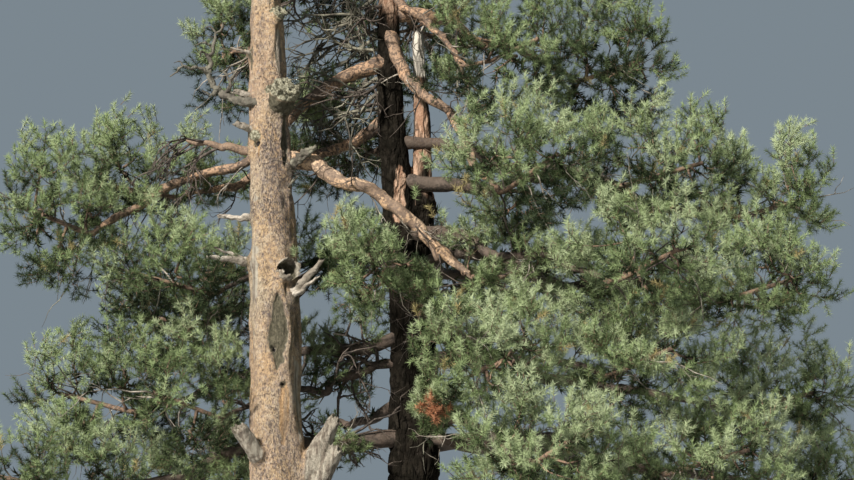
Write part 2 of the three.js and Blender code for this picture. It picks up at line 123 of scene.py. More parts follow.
# Dead stubs on the near stem: height, bearing, length, rise, radius at foot and tip.
THICK_STUBS = [
    (8.98, -60, 0.38, 0.24, 0.12, 0.13),
    (9.9, -48, 0.27, 0.14, 0.08, 0.07),
    (5.42, -132, 0.56, 0.34, 0.11, 0.07),
    (5.2, -8, 0.56, 0.7, 0.23, 0.05),
    (5.02, -14, 0.6, 0.56, 0.14, 0.06),
]
CRUSTY_FROM = 8.9  # thick stubs that leave the stem above this end in a crust of lichen
THIN_STUBS = [
    (8.8, -152, 0.4, 0.06, 0.05, 0.03),
    (7.92, 180, 0.56, 0.03, 0.045, 0.02),
    (7.46, -172, 0.68, 0.05, 0.06, 0.014),
    (7.48, -176, 0.6, 0.14, 0.034, 0.008),
    (7.09, -30, 0.58, 0.36, 0.07, 0.02),
    (7.07, -34, 0.55, 0.2, 0.05, 0.012),
    (9.17, -165, 0.38, 0.05, 0.04, 0.03),
    (9.62, -170, 0.38, 0.06, 0.03, 0.008),
]
LICHEN_STUBS = [
    (8.4, -24, 0.47, 0.22, 0.075, 0.032),
    (8.16, -35, 0.33, 0.16, 0.024, 0.01),
]
# The bough that has lost its needles, on the near stem's left.
BARE_BOUGH = (8.62, 178, 0.86, 0.12, 0.06, 0.022)
# The twisted dead limb high on the near stem's left, and its prongs: reach to the left, height
# and radius of each point.
DEAD_LIMBS = [
    [
        (0.05, 9.06, 0.045), (0.19, 9.1, 0.044), (0.36, 9.15, 0.04), (0.45, 9.2, 0.036),
        (0.53, 9.26, 0.034), (0.58, 9.34, 0.03), (0.63, 9.44, 0.03), (0.6, 9.52, 0.024),
        (0.64, 9.6, 0.022), (0.59, 9.66, 0.018), (0.57, 9.75, 0.015), (0.54, 9.85, 0.012),
        (0.5, 9.9, 0.009), (0.48, 9.97, 0.004),
    ],
    [(0.6, 9.43, 0.026), (0.69, 9.46, 0.02), (0.78, 9.44, 0.018), (0.86, 9.46, 0.014),
     (0.92, 9.4, 0.01), (1.0, 9.35, 0.005)],
    [(0.86, 9.45, 0.012), (0.9, 9.5, 0.008), (0.96, 9.49, 0.004)],
    [(0.58, 9.7, 0.014), (0.66, 9.73, 0.011), (0.76, 9.68, 0.005)],
    [(0.54, 9.84, 0.011), (0.6, 9.91, 0.008), (0.67, 9.88, 0.004)],
    [(0.62, 9.6, 0.016), (0.69, 9.63, 0.011), (0.7, 9.57, 0.005)],
    [(0.45, 9.19, 0.026), (0.4, 9.3, 0.02), (0.44, 9.42, 0.014), (0.5, 9.46, 0.007)],
    [(0.42, 9.34, 0.016), (0.36, 9.4, 0.011), (0.38, 9.47, 0.005)],
    [(0.53, 9.25, 0.022), (0.59, 9.2, 0.015), (0.68, 9.23, 0.007)],
]
HOLLOW = {
    "height": 7.32, "bearing": -52, "length": 0.33, "rise": 0.05, "radius": 0.11, "bore": 0.078,
    "deep": 0.19,
}

# Marks on the near stem's front: kind, x, height, half width, half height, depth (in).
FRONT_MARKS = [
    ("scar", -0.64, 8.72, 0.035, 0.32, 0.04),
    ("scar", -0.69, 6.74, 0.1, 0.42, 0.032),
    ("hole", -0.73, 6.56, 0.032, 0.035, 0.05),
    ("hole", -0.63, 6.21, 0.028, 0.03, 0.04),
    ("knob", -0.93, 8.74, 0.06, 0.06, -0.035),
    ("hole", -0.93, 8.66, 0.035, 0.035, 0.03),
    ("fresh", -0.62, 5.93, 0.055, 0.32, 0.01),
    ("fresh", -0.9, 8.58, 0.012, 0.07, 0.0),
    ("grey", -0.93, 7.3, 0.08, 0.42, 0.006),
    ("grey", -0.47, 6.2, 0.06, 0.6, 0.0),
    ("grey", -0.71, 9.62, 0.045, 0.4, 0.0),
    ("hole", -1.0, 9.57, 0.03, 0.13, 0.03),
]

# Every mass of needles: name, kind, stem, height, bearing, reach, rise, arch, foot radius, and
# its half sizes along the bearing, across it and upwards.
MASSES = [
    ("left_upper_outer", "bough", "far", 9.8, -176, 3.35, -1.65, -0.05, 0.085, 0.7, 0.95, 0.93),
    ("left_upper_inner", "bough", "far", 9.2, 170, 2.7, -0.6, -0.1, 0.07, 0.92, 0.9, 0.8),
    ("left_middle", "bough", "far", 7.75, -171, 2.35, -0.3, 0.15, 0.06, 0.86, 0.88, 0.68),
    ("left_lower_outer", "bough", "far", 6.9, 179, 3.2, -0.6, 0.1, 0.075, 0.84, 1.0, 0.8),
    ("left_lower_inner", "bough", "far", 6.6, -166, 2.3, -0.4, 0.05, 0.06, 0.76, 0.82, 0.9),
    ("left_bottom", "bough", "far", 5.9, -164, 3.75, -0.6, 0.1, 0.1, 1.05, 1.0, 0.64),
    ("right_upper_outer", "bough", "far", 10.3, 4, 2.3, -0.45, 0.1, 0.07, 0.74, 1.0, 0.92),
    ("right_inner_high", "bough", "far", 10.1, -54, 2.35, -1.85, -0.15, 0.075, 0.92, 0.92, 0.72),
    ("right_middle", "bough", "far", 8.9, -15, 2.8, -0.4, 0.05, 0.07, 0.88, 0.95, 0.72),
    ("right_outer", "bough", "far", 8.5, 3, 3.85, -0.15, 0.15, 0.08, 0.7, 1.05, 0.84),
    ("right_centre", "bough", "far", 7.9, -48, 3.4, -0.7, 0.1, 0.075, 0.92, 0.95, 0.7),
    ("right_inner", "bough", "near", 8.6, -4, 2.4, -1.15, 0.18, 0.085, 0.7, 0.78, 0.72),
    ("right_outer_low", "bough", "far", 7.6, -21, 3.7, -0.4, 0.1, 0.07, 0.78, 0.9, 0.64),
    ("right_lower_middle", "bough", "far", 6.95, -45, 3.05, -0.6, 0.1, 0.075, 0.94, 0.95, 0.68),
    ("right_lower_outer", "bough", "far", 6.6, -9, 3.6, -0.4, 0.1, 0.085, 0.88, 1.05, 0.7),
    ("right_bottom_middle", "bough", "far", 5.9, -31, 3.25, -0.45, 0.1, 0.085, 0.96, 1.0, 0.68),
    ("right_bottom_outer", "bough", "far", 5.75, 3, 4.2, -0.3, 0.1, 0.09, 0.76, 1.05, 0.7),
    ("crown_right", "bough", "far", 11.3, 3, 1.45, 0.35, 0.05, 0.05, 1.0, 1.0, 0.92),
    ("back_left", "bough", "far", 7.9, 140, 3.2, -0.4, 0.1, 0.065, 0.95, 0.92, 0.76),
    ("back_low_left", "bough", "far", 6.3, 136, 2.95, -0.6, 0.1, 0.07, 1.0, 0.95, 0.72),
    ("back_middle", "bough", "far", 8.2, 80, 2.5, -0.3, 0.1, 0.065, 0.9, 1.0, 0.76),
    ("back_right", "bough", "far", 7.7, 39, 3.1, -0.1, 0.1, 0.07, 0.95, 0.95, 0.78),
    ("back_low_right", "bough", "far", 6.1, 52, 3.0, -0.4, 0.1, 0.075, 1.0, 1.05, 0.72),
    ("centre_front", "own", "far", 7.6, -101, 1.6, -0.25, 0.1, 0.05, 0.7, 0.86, 0.64),
    ("centre_back", "own", "far", 8.7, 117, 1.45, 0.6, 0.0, 0.05, 0.82, 0.78, 0.76),
    ("right_upper_inner", "own", "far", 10.6, -38, 1.5, -0.9, 0.0, 0.05, 0.84, 0.88, 0.82),
    ("right_lower_inner", "own", "far", 7.1, -69, 2.5, -0.75, 0.1, 0.06, 0.92, 0.9, 0.7),
    ("right_bottom_inner", "own", "far", 6.2, -64, 2.85, -0.8, 0.1, 0.06, 0.96, 0.98, 0.68),
    ("left_top", "own", "near", 9.6, 112, 1.05, 0.4, 0.0, 0.045, 0.62, 0.55, 0.85),
    ("crown_left", "own", "far", 10.7, 140, 1.25, 0.4, 0.0, 0.05, 0.9, 0.9, 0.86),
    ("crown_front", "own", "far", 10.8, -62, 1.4, 0.35, 0.0, 0.05, 0.9, 0.9, 0.84),
    ("crown_back", "own", "far", 10.6, 77, 1.6, 0.0, 0.0, 0.05, 0.92, 0.96, 0.88),
    ("near_top", "top", "near", 11.3, 180, 0.05, 0.4, 0.0, 0.06, 1.0, 1.0, 0.98),
    ("far_top", "top", "far", 12.7, 0, 0.05, 0.4, 0.0, 0.04, 1.02, 1.02, 1.25),
]
BARE_FRONT = "right_inner"  # the bough that nothing hides from the front
# The one dead tuft: the mass whose bough bears it, its middle, its size and its twigs.
RUSTY_MASS = "right_bottom_inner"
RUSTY = (0.86, -1.05, 5.9)
RUSTY_RADIUS = 0.15
RUSTY_TWIGS = 7
# A mass whose bough bears more twigs near its foot, and where those end.
FILLED_MASS = "left_middle"
FILLED_GOALS = (
    (-0.41, 0.15, 7.35), (-0.21, 0.1, 7.42), (-0.06, 0.12, 7.28), (-0.3, 0.2, 7.65),
    (-0.44, 0.25, 7.52), (-0.15, 0.05, 7.62), (-0.32, 0.05, 7.2),
)
CROOK = 0.035  # how far a bough strays from its arch, per length
ENTRY = 0.55  # how far before a mass's middle its bough ends, in half sizes
BOUGH_TIP = 0.42  # a bough's radius at its end, as a share of its foot's
BOUGH_SWAY = 0.028  # the size of its finer crooks
HIGH = 9.0  # a bough that leaves its stem above this height is lit
LOW = 8.0  # one to the left that leaves it below this height has longer bare twigs
TWIGS_PER_METRE = 3.4  # bare ones on a bough
THICKET = (9.3, 10.9, 18)  # heights on the far stem between which 18 dead twigs grow
GOLDEN_ANGLE = 2.39996
SPRAYS = 17  # in a mass of one metre's half size
SPRAYS_PER_TWIG = 4
TWIG_REACH = 0.38  # the part of a main twig that others leave, from its foot
# Radii of twigs at their foot, of all at their tip, and of a shoot.
TWIG_FOOT = 0.022
SIDE_TWIG_FOOT = 0.016
FINE_TWIG_FOOT = 0.011
RUSTY_TWIG_FOOT = 0.01
SPRIG_FOOT = 0.009
TWIG_TIP = 0.006
SHOOT_RADIUS = 0.0045

PIECE_LIMIT = 178000  # triangles
# Needles per shoot, on the masses that the photo shows and on those behind and above. They are
# wider where there are fewer.
FRONT_FINENESS = 1.22
BACK_FINENESS = 0.65
NEEDLES_PER_PAD_LENGTH = 4.95  # needles on a pad and its twig, per length and needles per metre
INNER_DENSITY = 0.38  # needles on the twigs inside a mass, as a share of the outer ones'
INNER_WIDTH = 3.0  # width of those needles, against the outer ones'
INNER_LENGTH = 1.35  # and their length
INNER_KEPT = 0.85  # share of the shoots inside a mass that are kept
# Room between the stems' bark and the middle of a shoot, and its end.
SHOOT_ROOM = 0.07
SHOOT_END_ROOM = 0.06
TOWARDS_LIGHT = (-0.2, -0.3, 0.55)  # turns the needles' faces, which look outwards, to the light
PAST_SOLIDS = 0.17  # how far a shoot may reach past the solids' box
BOUGH_ROOM = 0.15  # round the bare bough, as seen from the front
# Places before the hollow that stay free as well: x, y, height and room.
HOLLOW_ROOM = ((-0.53, -0.6, 7.32, 0.2), (-0.38, -0.6, 7.36, 0.17))
SIGHT_RISE = 0.2  # how much the lines of sight rise, per metre to the back

# Barks of the boughs and twigs: name, main colour, second colour and flecks. The dark brown of the
# unlit boughs is partly their own bark and partly painted shade.
BOUGH_BARKS = (
    ("salmon_bough", (0.6, 0.43, 0.29), (0.5, 0.33, 0.2), (0.17, 0.12, 0.09)),
    ("orange_bough", (0.46, 0.29, 0.18), (0.28, 0.19, 0.13), (0.09, 0.065, 0.05)),
    ("brown_bough", (0.09, 0.061, 0.044), (0.047, 0.036, 0.028), (0.12, 0.09, 0.07)),
    ("dark_twigs", (0.09, 0.07, 0.055), (0.055, 0.045, 0.038), (0.15, 0.12, 0.1)),
    ("twigs", (0.2, 0.13, 0.085), (0.28, 0.18, 0.12), (0.12, 0.09, 0.07)),
)
# Painted light and shade: shade, deep, middle, light and sunlit are one needle colour painted
# darker within and below a mass and lighter above and outside it; old and rusty are colours of
# their own.
NEEDLE_COLOURS = ("shade", "deep", "middle", "light", "sunlit", "old", "rusty")
TONE_STEPS = (0.0, 0.22, 0.42, 0.66)  # tones at which a shoot takes the next lighter colour, one step more of painted light
OLD_SHARE = 0.012  # share of the shoots whose needles are old

TWIG_SEED = 101
CROOK_SEED = 300  # plus a mass's index
DEAD_CROOKS = 50  # the same for dead limbs, plus their own index
BARE_CROOKS = 77  # the same for the bare bough
NEEDLE_SEED = 7
BARE_TWIG_SEED = 23

# The photo's camera: its place, its distance from its aim, how far back that is and how much
# higher than the camera, and its focal length and the photo's width in pixels.
CAMERA_X = 0.78
CAMERA_HEIGHT = 1.6
CAMERA_DISTANCE = 30
CAMERA_AIM_Y = -0.45
CAMERA_RISE = 6.1
FOCAL_PIXELS = 3000
PHOTO_WIDTH = 854
SENSOR_WIDTH = 36  # millimetres
TOWARDS_SUN = (-0.5, -0.74, 0.46)
FLOOR_SIZE = 900
VIEW_END = 2000

UP = np.array((0.0, 0.0, 1.0))
LEFTWARD = -0.85  # the x of a heading that counts as to the left
GREY, FRESH, DARK, CRUST = range(4)  # the marks' channels
BACK = CRUST  # on the far stem, which has no crust


def unit(vectors):
    """Each vector at length one."""
    vectors = np.asarray(vectors, float)
    return vectors / np.maximum(np.linalg.norm(vectors, axis=-1, keepdims=True), 1e-9)


def square_to(along):
    """For each direction, two more that are square to it and to each other."""
    helper = np.where(np.abs(along[..., 2:]) > 0.9, np.array((1.0, 0, 0)), UP)
    side = unit(np.cross(along, helper))
    return side, np.cross(along, side)


def towards(bearing):
    """The level direction with that bearing, in degrees from +X towards +Y."""
    angle = math.radians(bearing)
    return np.array((math.cos(angle), math.sin(angle), 0.0))


def seeded(seed):
    """A source of numbers from 0 to 1, the same as the solids use."""
    state = seed

    def draw():
        nonlocal state
        whole = 0xFFFFFFFF
        state = (state + 0x6D2B79F5) & whole
        t = ((state ^ (state >> 15)) * (1 | state)) & whole
        t = ((t + (((t ^ (t >> 7)) * (61 | t)) & whole)) & whole) ^ t
        return ((t ^ (t >> 14)) & whole) / 4294967296

    return draw


class Line:
    """A smooth line through points, with a radius at each."""

    def __init__(self, points):
        rows = np.array(points, float)
        self.radii = rows[:, 3]
        inner = rows[:, :3]
        first = 2 * inner[0] - inner[1]
        last = 2 * inner[-1] - inner[-2]
        self.points = np.vstack((first, inner, last))
        self.spans = len(inner) - 1

    def _span(self, t):
        along = np.clip(np.asarray(t, float), 0, 1) * self.spans
        start = np.minimum(along.astype(int), self.spans - 1)
        return start, along - start

    def place(self, t):
        start, w = self._span(t)
        a, b, c, d = (self.points[start + k] for k in range(4))
        w = np.asarray(w)[..., None]
        m, n = 0.5 * (c - a), 0.5 * (d - b)
        return b + m * w + (3 * (c - b) - 2 * m - n) * w**2 + (2 * (b - c) + m + n) * w**3

    def heading(self, t):
        t = np.asarray(t, float)
        return unit(self.place(np.minimum(t + 1e-4, 1)) - self.place(np.maximum(t - 1e-4, 0)))

    def radius(self, t):
        return np.interp(np.asarray(t) * self.spans, np.arange(self.spans + 1), self.radii)

    def at_height(self, height):
        steps = np.linspace(0, 1, 2001)
        return float(np.interp(height, self.place(steps)[:, 2], steps))

    def reach(self):
        return float(np.linalg.norm(self.place(1.0) - self.place(0.0)))


STEM_LINES = {name: Line(points) for name, points in STEMS.items()}
LEADER_LINE = Line(BROKEN_LEADER)


def stub_line(height, bearing, length, rise, foot, tip):
    """A limb that leaves the near stem, from its middle outwards."""
    stem = STEM_LINES["near"]
    start = stem.place(stem.at_height(height))
    places = [start + towards(bearing) * length * t + UP * rise * t * t for t in (0, 0.5, 1)]
    radii = (foot, (foot + tip) / 2, tip)
    return Line([(*place, radius) for place, radius in zip(places, radii)])


def dead_line(points):
    """The twisted dead limb or one of its prongs, high on the near stem's left."""
    stem = STEM_LINES["near"]
    middle = stem.place(stem.at_height(DEAD_LIMBS[0][0][1]))
    return Line(
        [
            (middle[0] - left, middle[1] - 0.1 * left - 0.08 * math.sin(9 * left), height, radius)
            for left, height, radius in points
        ]
    )


class Mass:
    """A mass's space: its middle, axes, half sizes and walls, and the limb that carries it."""

    def __init__(self, index, row):
        (self.name, self.kind, self.stem, height, bearing, reach, rise, self.arch, self.foot,
         along, across, tall) = row
        self.index = index
        stem = STEM_LINES[self.stem]
        self.root = stem.place(stem.at_height(height))
        self.out = UP if self.kind == "top" else towards(bearing)
        self.middle = self.root + towards(bearing) * reach + UP * rise
        self.axes = np.array((towards(bearing), towards(bearing + 90), UP))
        self.halves = np.array((along, across, tall))
        self.walls = []
        self.high = self.root[2] > HIGH
        self.leftward = self.kind != "top" and self.axes[0][0] < LEFTWARD
        behind = self.kind == "top" or self.name.startswith(("back", "crown"))
        self.fineness = BACK_FINENESS if behind else FRONT_FINENESS

    def support(self, direction):
        """How far the space reaches from its middle in that direction."""
        return float(np.linalg.norm((self.axes @ direction) * self.halves))

    def bough(self):
        """The limb that carries it, as the solids have it."""
        tip = self.middle - ENTRY * self.halves[0] * self.axes[0] - 0.2 * self.halves[2] * UP
        length = np.linalg.norm(tip - self.root)
        rows = []
        for k in range(5):
            t = k / 4
            free = 0 if k in (0, 4) else CROOK * length
            place = self.root + (tip - self.root) * t
            place = place + UP * (self.arch * math.sin(math.pi * t))
            place = place + UP * (free * math.sin(3.1 * self.index + 2.3 * k))
            place = place + self.axes[1] * (free * math.sin(2.4 * self.index + 1.7 * k))
            rows.append((*place, self.foot * (1 + (BOUGH_TIP - 1) * t)))
        return Line(rows)

    def own_stem(self):
        """The stem inside the space, that the main twigs leave."""
        size = self.halves[2 if self.kind == "top" else 0]
        far = self.middle + self.out * 0.5 * size
        if self.kind == "own":
            line = self.bough()
            rows = [(*line.place(k / 4), float(line.radius(k / 4))) for k in range(5)]
            return Line(rows + [(*far, TWIG_FOOT)])
        source = self.bough() if self.kind == "bough" else STEM_LINES[self.stem]
        end, heading, radius = source.place(1.0), source.heading(1.0), float(source.radius(1.0))
        lead = end + heading * 0.12
        places = (end, lead, (lead + far) / 2, far)
        shares = [(k / 3) ** 0.7 for k in range(4)]
        return Line([(*p, radius + (TWIG_FOOT - radius) * s) for p, s in zip(places, shares)])

    def goals(self, count, random, share=1.0):
        """Points spread evenly over the space's skin, drawn in to the walls."""
        turn = random() * math.pi * 2
        found = []
        for k in range(count):
            level = 1 - (2 * k + 1) / count
            angle = turn + k * GOLDEN_ANGLE + 0.3 * (random() - 0.5)
            flat = math.sqrt(1 - level * level)
            shares = np.array((flat * math.cos(angle), flat * math.sin(angle), level))
            out = (shares * self.halves) @ self.axes
            rooms = [limit / max(float(out @ normal), 1e-6) for normal, limit in self.walls]
            found.append(self.middle + out * min([1.0] + rooms) * share)
        return found


def all_masses():
    """Every mass, with the planes that part it from the neighbours it would meet."""
    masses = [Mass(index, row) for index, row in enumerate(MASSES)]
    for mass in masses:
        for other in masses:
            if other is mass:
                continue
            away = other.middle - mass.middle
            apart = float(np.linalg.norm(away))
            normal = away / apart
            mine, theirs = mass.support(normal), other.support(normal)
            if mine + theirs >= apart:
                mass.walls.append((normal, apart * mine / (mine + theirs) - 0.01))
    return masses


ALL_MASSES = all_masses()


# Shader maths.


class Value:
    """A socket in a material's tree. Sums, differences and products of values add Math nodes."""

    def __init__(self, tree, socket):
        self.tree = tree
        self.socket = socket

    def _math(self, operation, *values):
        node = self.tree.new("ShaderNodeMath", {"operation": operation})
        for socket, value in zip(node.inputs, values):
            self.tree.feed(socket, value)
        return Value(self.tree, node.outputs[0])

    def __add__(self, other):
        return self._math("ADD", self, other)

    def __radd__(self, other):
        return self._math("ADD", other, self)

    def __sub__(self, other):
        return self._math("SUBTRACT", self, other)

    def __rsub__(self, other):
        return self._math("SUBTRACT", other, self)

    def __mul__(self, other):
        return self._math("MULTIPLY", self, other)

    def __rmul__(self, other):
        return self._math("MULTIPLY", other, self)

    def above(self, low, high):
        """0 below low, 1 above high, and smooth between."""
        node = self.tree.new("ShaderNodeMapRange", {"interpolation_type": "SMOOTHSTEP"})
        for name, value in (("Value", self), ("From Min", low), ("From Max", high)):
            self.tree.feed(node.inputs[name], value)
        return Value(self.tree, node.outputs["Result"])


class Finish:
    """A material with one main shader, and the nodes that lead to it."""

    def __init__(self, name, roughness, colour=(0.5, 0.5, 0.5)):
        self.material = bpy.data.materials.new(name)
        self.material.use_nodes = True
        self.material.diffuse_color = (*colour, 1)
        self.tree = self.material.node_tree
        self.main = self.tree.nodes["Principled BSDF"]
        self.set("Roughness", roughness)
        self.set("Base Color", colour)

    def new(self, kind, settings=None, **inputs):
        """A node with its settings, then the values or links of its sockets."""
        node = self.tree.nodes.new(kind)
        for name, value in (settings or {}).items():
            setattr(node, name, value)
        for name, value in inputs.items():
            self.feed(node.inputs[name.replace("_", " ")], value)
        return node

    def feed(self, socket, value):
        if isinstance(value, Value):
            self.tree.links.new(value.socket, socket)
        elif socket.type == "RGBA":
            socket.default_value = (*value, 1)
        else:
            socket.default_value = value

    def set(self, name, value):
        self.feed(self.main.inputs[name], value)

    def places(self, scale=(1, 1, 1)):
        """Object coordinates, scaled."""
        coords = Value(self, self.new("ShaderNodeTexCoord").outputs["Object"])
        node = self.new("ShaderNodeMapping", {}, Vector=coords, Scale=scale)
        return Value(self, node.outputs[0])

    def height(self):
        """Height over the ground."""
        coords = Value(self, self.new("ShaderNodeTexCoord").outputs["Object"])
        parted = self.new("ShaderNodeSeparateXYZ", {}, Vector=coords)
        return Value(self, parted.outputs[2])

    def clouds(self, scale, detail=3.0, stretch=(1, 1, 1), rough=0.5):
        """Fractal noise, mostly between 0.4 and 0.6."""
        node = self.new(
            "ShaderNodeTexNoise", {}, Vector=self.places(stretch), Scale=scale, Detail=detail,
            Roughness=rough,
        )
        return Value(self, node.outputs[0])

    def warped(self, stretch, amount, scale):
        """Object coordinates pushed about by noise, so that cells lose their straight edges."""
        places = self.places(stretch)
        cloud = self.new("ShaderNodeTexNoise", {}, Vector=places, Scale=scale)
        node = self.new("ShaderNodeVectorMath", {"operation": "MULTIPLY_ADD"})
        self.feed(node.inputs[0], Value(self, cloud.outputs["Color"]))
        self.feed(node.inputs[1], (amount, amount, amount))
        self.feed(node.inputs[2], places)
        return Value(self, node.outputs[0])

    def flakes(self, scale, stretch=(1, 1, 1), feature="F1"):
        """Cells: two random numbers for each, or how far a place is from its cell's edge."""
        warped = self.warped(stretch, 1.1 / scale, scale * 1.4)
        node = self.new("ShaderNodeTexVoronoi", {"feature": feature}, Vector=warped, Scale=scale)
        if feature == "DISTANCE_TO_EDGE":
            return Value(self, node.outputs["Distance"])
        parted = self.new("ShaderNodeSeparateColor", {}, Color=Value(self, node.outputs["Color"]))
        return Value(self, parted.outputs[0]), Value(self, parted.outputs[1])

    def mark(self, channel):
        """One of the masks that write_marks kept with the mesh."""
        node = self.new("ShaderNodeAttribute", {"attribute_name": "marks"})
        if channel == CRUST:
            return Value(self, node.outputs["Alpha"])
        parted = self.new("ShaderNodeSeparateColor", {}, Color=Value(self, node.outputs["Color"]))
        return Value(self, parted.outputs[channel])

    def mix(self, factor, first, second):
        node = self.new("ShaderNodeMix", {"data_type": "RGBA"})
        self.feed(node.inputs[0], factor)
        self.feed(node.inputs[6], first)
        self.feed(node.inputs[7], second)
        return Value(self, node.outputs[2])

    def bump(self, height, depth):
        node = self.new("ShaderNodeBump", {}, Height=height, Distance=depth, Strength=1.0)
        self.set("Normal", Value(self, node.outputs[0]))


def near_bark_finish(colours):
    """Cream and salmon bark with lilac-grey flecks, dark pits, dead patches and lichen."""
    finish = Finish("near_bark", 0.82, colours.bark_cream)
    height = finish.height()
    grain = finish.clouds(60.0, 5.0, (1, 1, 0.4), 0.7)
    broad = finish.clouds(1.3, 3.0, (1, 1, 0.5)).above(0.38, 0.66)
    patch = finish.clouds(5.0, 4.0, (1, 1, 0.45)).above(0.42, 0.62)
    colour = finish.mix(broad, colours.bark_cream, colours.bark_salmon)
    colour = finish.mix(patch * 0.65, colour, colours.bark_ochre)
    tan = (0.3, 0.2, 0.13)
    colour = finish.mix(grain.above(0.42, 0.6) * 0.5, colour, tan)
    # Flecks, denser in some zones and most of all from the hollow up to the crusty stub.
    speckled = height.above(7.2, 7.9) * (1 - height.above(8.5, 9.1))
    zone = finish.clouds(2.6, 4.0, (1, 1, 0.4)).above(0.44, 0.57) * (0.55 + 0.3 * speckled)
    specks = finish.clouds(40.0, 7.0, (1, 1, 0.55), 0.78)
    lilac = (specks + 0.06 * zone).above(0.55, 0.575)
    colour = finish.mix(lilac * (0.35 + 0.5 * zone), colour, colours.bark_lilac)
    chips = finish.clouds(24.0, 6.0, (0.8, 0.8, 1.1), 0.75)
    pale_chip, brown_chip = (0.6, 0.5, 0.38), (0.24, 0.18, 0.14)
    colour = finish.mix(chips.above(0.54, 0.57) * 0.5, colour, pale_chip)
    colour = finish.mix((1 - chips.above(0.42, 0.455)) * 0.55, colour, brown_chip)
    first, second = finish.flakes(48.0, (1, 1, 0.6))
    colour = finish.mix((first - 0.8).above(0.0, 0.06) * 0.45, colour, colours.bark_lilac)
    # Dark clots of resin and still darker pits.
    clots = finish.clouds(38.0, 6.0, (1, 1, 0.45), 0.76)
    clots = (clots + 0.06 * zone).above(0.59, 0.61)
    fine = finish.clouds(85.0, 6.0, (1.1, 1.1, 0.5), 0.8)
    pits = (fine + 0.045 * zone).above(0.575, 0.595)
    clot, pit = (0.12, 0.09, 0.085), (0.07, 0.05, 0.04)
    colour = finish.mix(clots * 0.7, colour, clot)
    colour = finish.mix(pits * 0.8, colour, pit)
    # Older and browner bark towards the foot.
    old = finish.mix(first, (0.11, 0.085, 0.068), (0.22, 0.175, 0.14))
    colour = finish.mix((1 - height.above(1.1, 4.6)) * 0.85, colour, old)
    colour = marked_bark(finish, colours, colour, grain)
    finish.set("Base Color", colour)
    finish.set("Roughness", 0.78 + 0.15 * patch)
    relief = specks * 1.2 - pits * 1.2 - clots * 0.5 + grain * 1.2 + chips * 1.4 + second * 0.15
    finish.bump(relief, 0.014)
    return finish.material


def marked_bark(finish, colours, colour, grain):
    """The near bark's marks: bare wood, fresh bark, moss that is painted shade on the crusty
    stubs' necks, a crust of lichen, and holes painted near-black as painted shade.
    """
    grey, fresh, dark, crust = (finish.mark(channel) for channel in range(4))
    streak = finish.clouds(26.0, 3.0, (1, 1, 0.1))
    wood = finish.mix(streak.above(0.38, 0.62), (0.22, 0.18, 0.14), (0.49, 0.44, 0.355))
    colour = finish.mix(grey.above(0.25, 0.7), colour, wood)
    torn = finish.mix(streak.above(0.4, 0.6), colours.bark_fresh, (0.36, 0.24, 0.14))
    colour = finish.mix(fresh.above(0.3, 0.7) * 0.6, colour, torn)
    # Dark olive: moss on scars and in cracks, and painted shade on the crusty stubs' necks.
    moss_and_painted_shade = finish.mix(grain.above(0.42, 0.6), (0.085, 0.075, 0.045), (0.165, 0.145, 0.095))
    colour = finish.mix(dark.above(0.15, 0.45) * (1 - dark.above(0.7, 0.95)), colour, moss_and_painted_shade)
    lichen = finish.clouds(34.0, 4.0).above(0.44, 0.54)
    crusted = finish.mix(lichen, (0.17, 0.155, 0.1), (0.46, 0.44, 0.32))
    colour = finish.mix(crust.above(0.3, 0.7), colour, crusted)
    # Painted shade: the holes and the hollow's bore are painted near-black.
    hole = (0.02, 0.016, 0.013)
    return finish.mix(dark.above(0.75, 1.0), colour, hole)


def far_bark_finish(colours):
    """Furrowed bark, near-black in front as painted shade and its own brown behind and near the
    foot, that turns to thin salmon bark higher up.
    """
    finish = Finish("far_bark", 0.92, colours.bark_dark)
    finish.set("Specular IOR Level", 0.05)
    height = finish.height()
    plates = finish.flakes(10.0, (1, 1, 0.26), "DISTANCE_TO_EDGE")
    seams = 1 - plates.above(0.0, 0.12)
    flecks, second = finish.flakes(30.0, (1, 1, 0.45))
    foot = 1 - height.above(2.2, 5.4)
    # Painted shade: above the foot the bark is near-black, for the shade of the foliage in front
    # of it.
    colour = finish.mix(flecks.above(0.45, 0.7), colours.bark_dark, (0.016, 0.0135, 0.01))
    colour = finish.mix(foot, colour, finish.mix(flecks, (0.1, 0.075, 0.06), (0.17, 0.13, 0.1)))
    brown = finish.mix(flecks, (0.05, 0.038, 0.03), (0.11, 0.085, 0.065))
    # Behind, the bark keeps its own brown and not the painted shade of the front.
    colour = finish.mix(finish.mark(BACK) * 0.9, colour, brown)
    pale_flake = (0.12, 0.1, 0.085)
    colour = finish.mix((second - 0.8).above(0, 0.1) * (0.08 + 0.6 * foot), colour, pale_flake)
    salmon = finish.mix(flecks.above(0.4, 0.6), (0.3, 0.18, 0.12), (0.46, 0.31, 0.22))
    colour = finish.mix(finish.mark(FRESH).above(0.25, 0.75), colour, salmon)
    streak = finish.clouds(24.0, 3.0, (1, 1, 0.1))
    wood = finish.mix(streak.above(0.35, 0.65), (0.34, 0.31, 0.27), (0.6, 0.56, 0.48))
    colour = finish.mix(finish.mark(GREY).above(0.3, 0.7), colour, wood)
    seam = (0.01, 0.008, 0.006)
    colour = finish.mix(seams * 0.5, colour, seam)
    finish.set("Base Color", colour)
    finish.bump(plates.above(0.0, 0.14) + finish.clouds(45.0, 5.0) * 1.2, 0.014)
    return finish.material


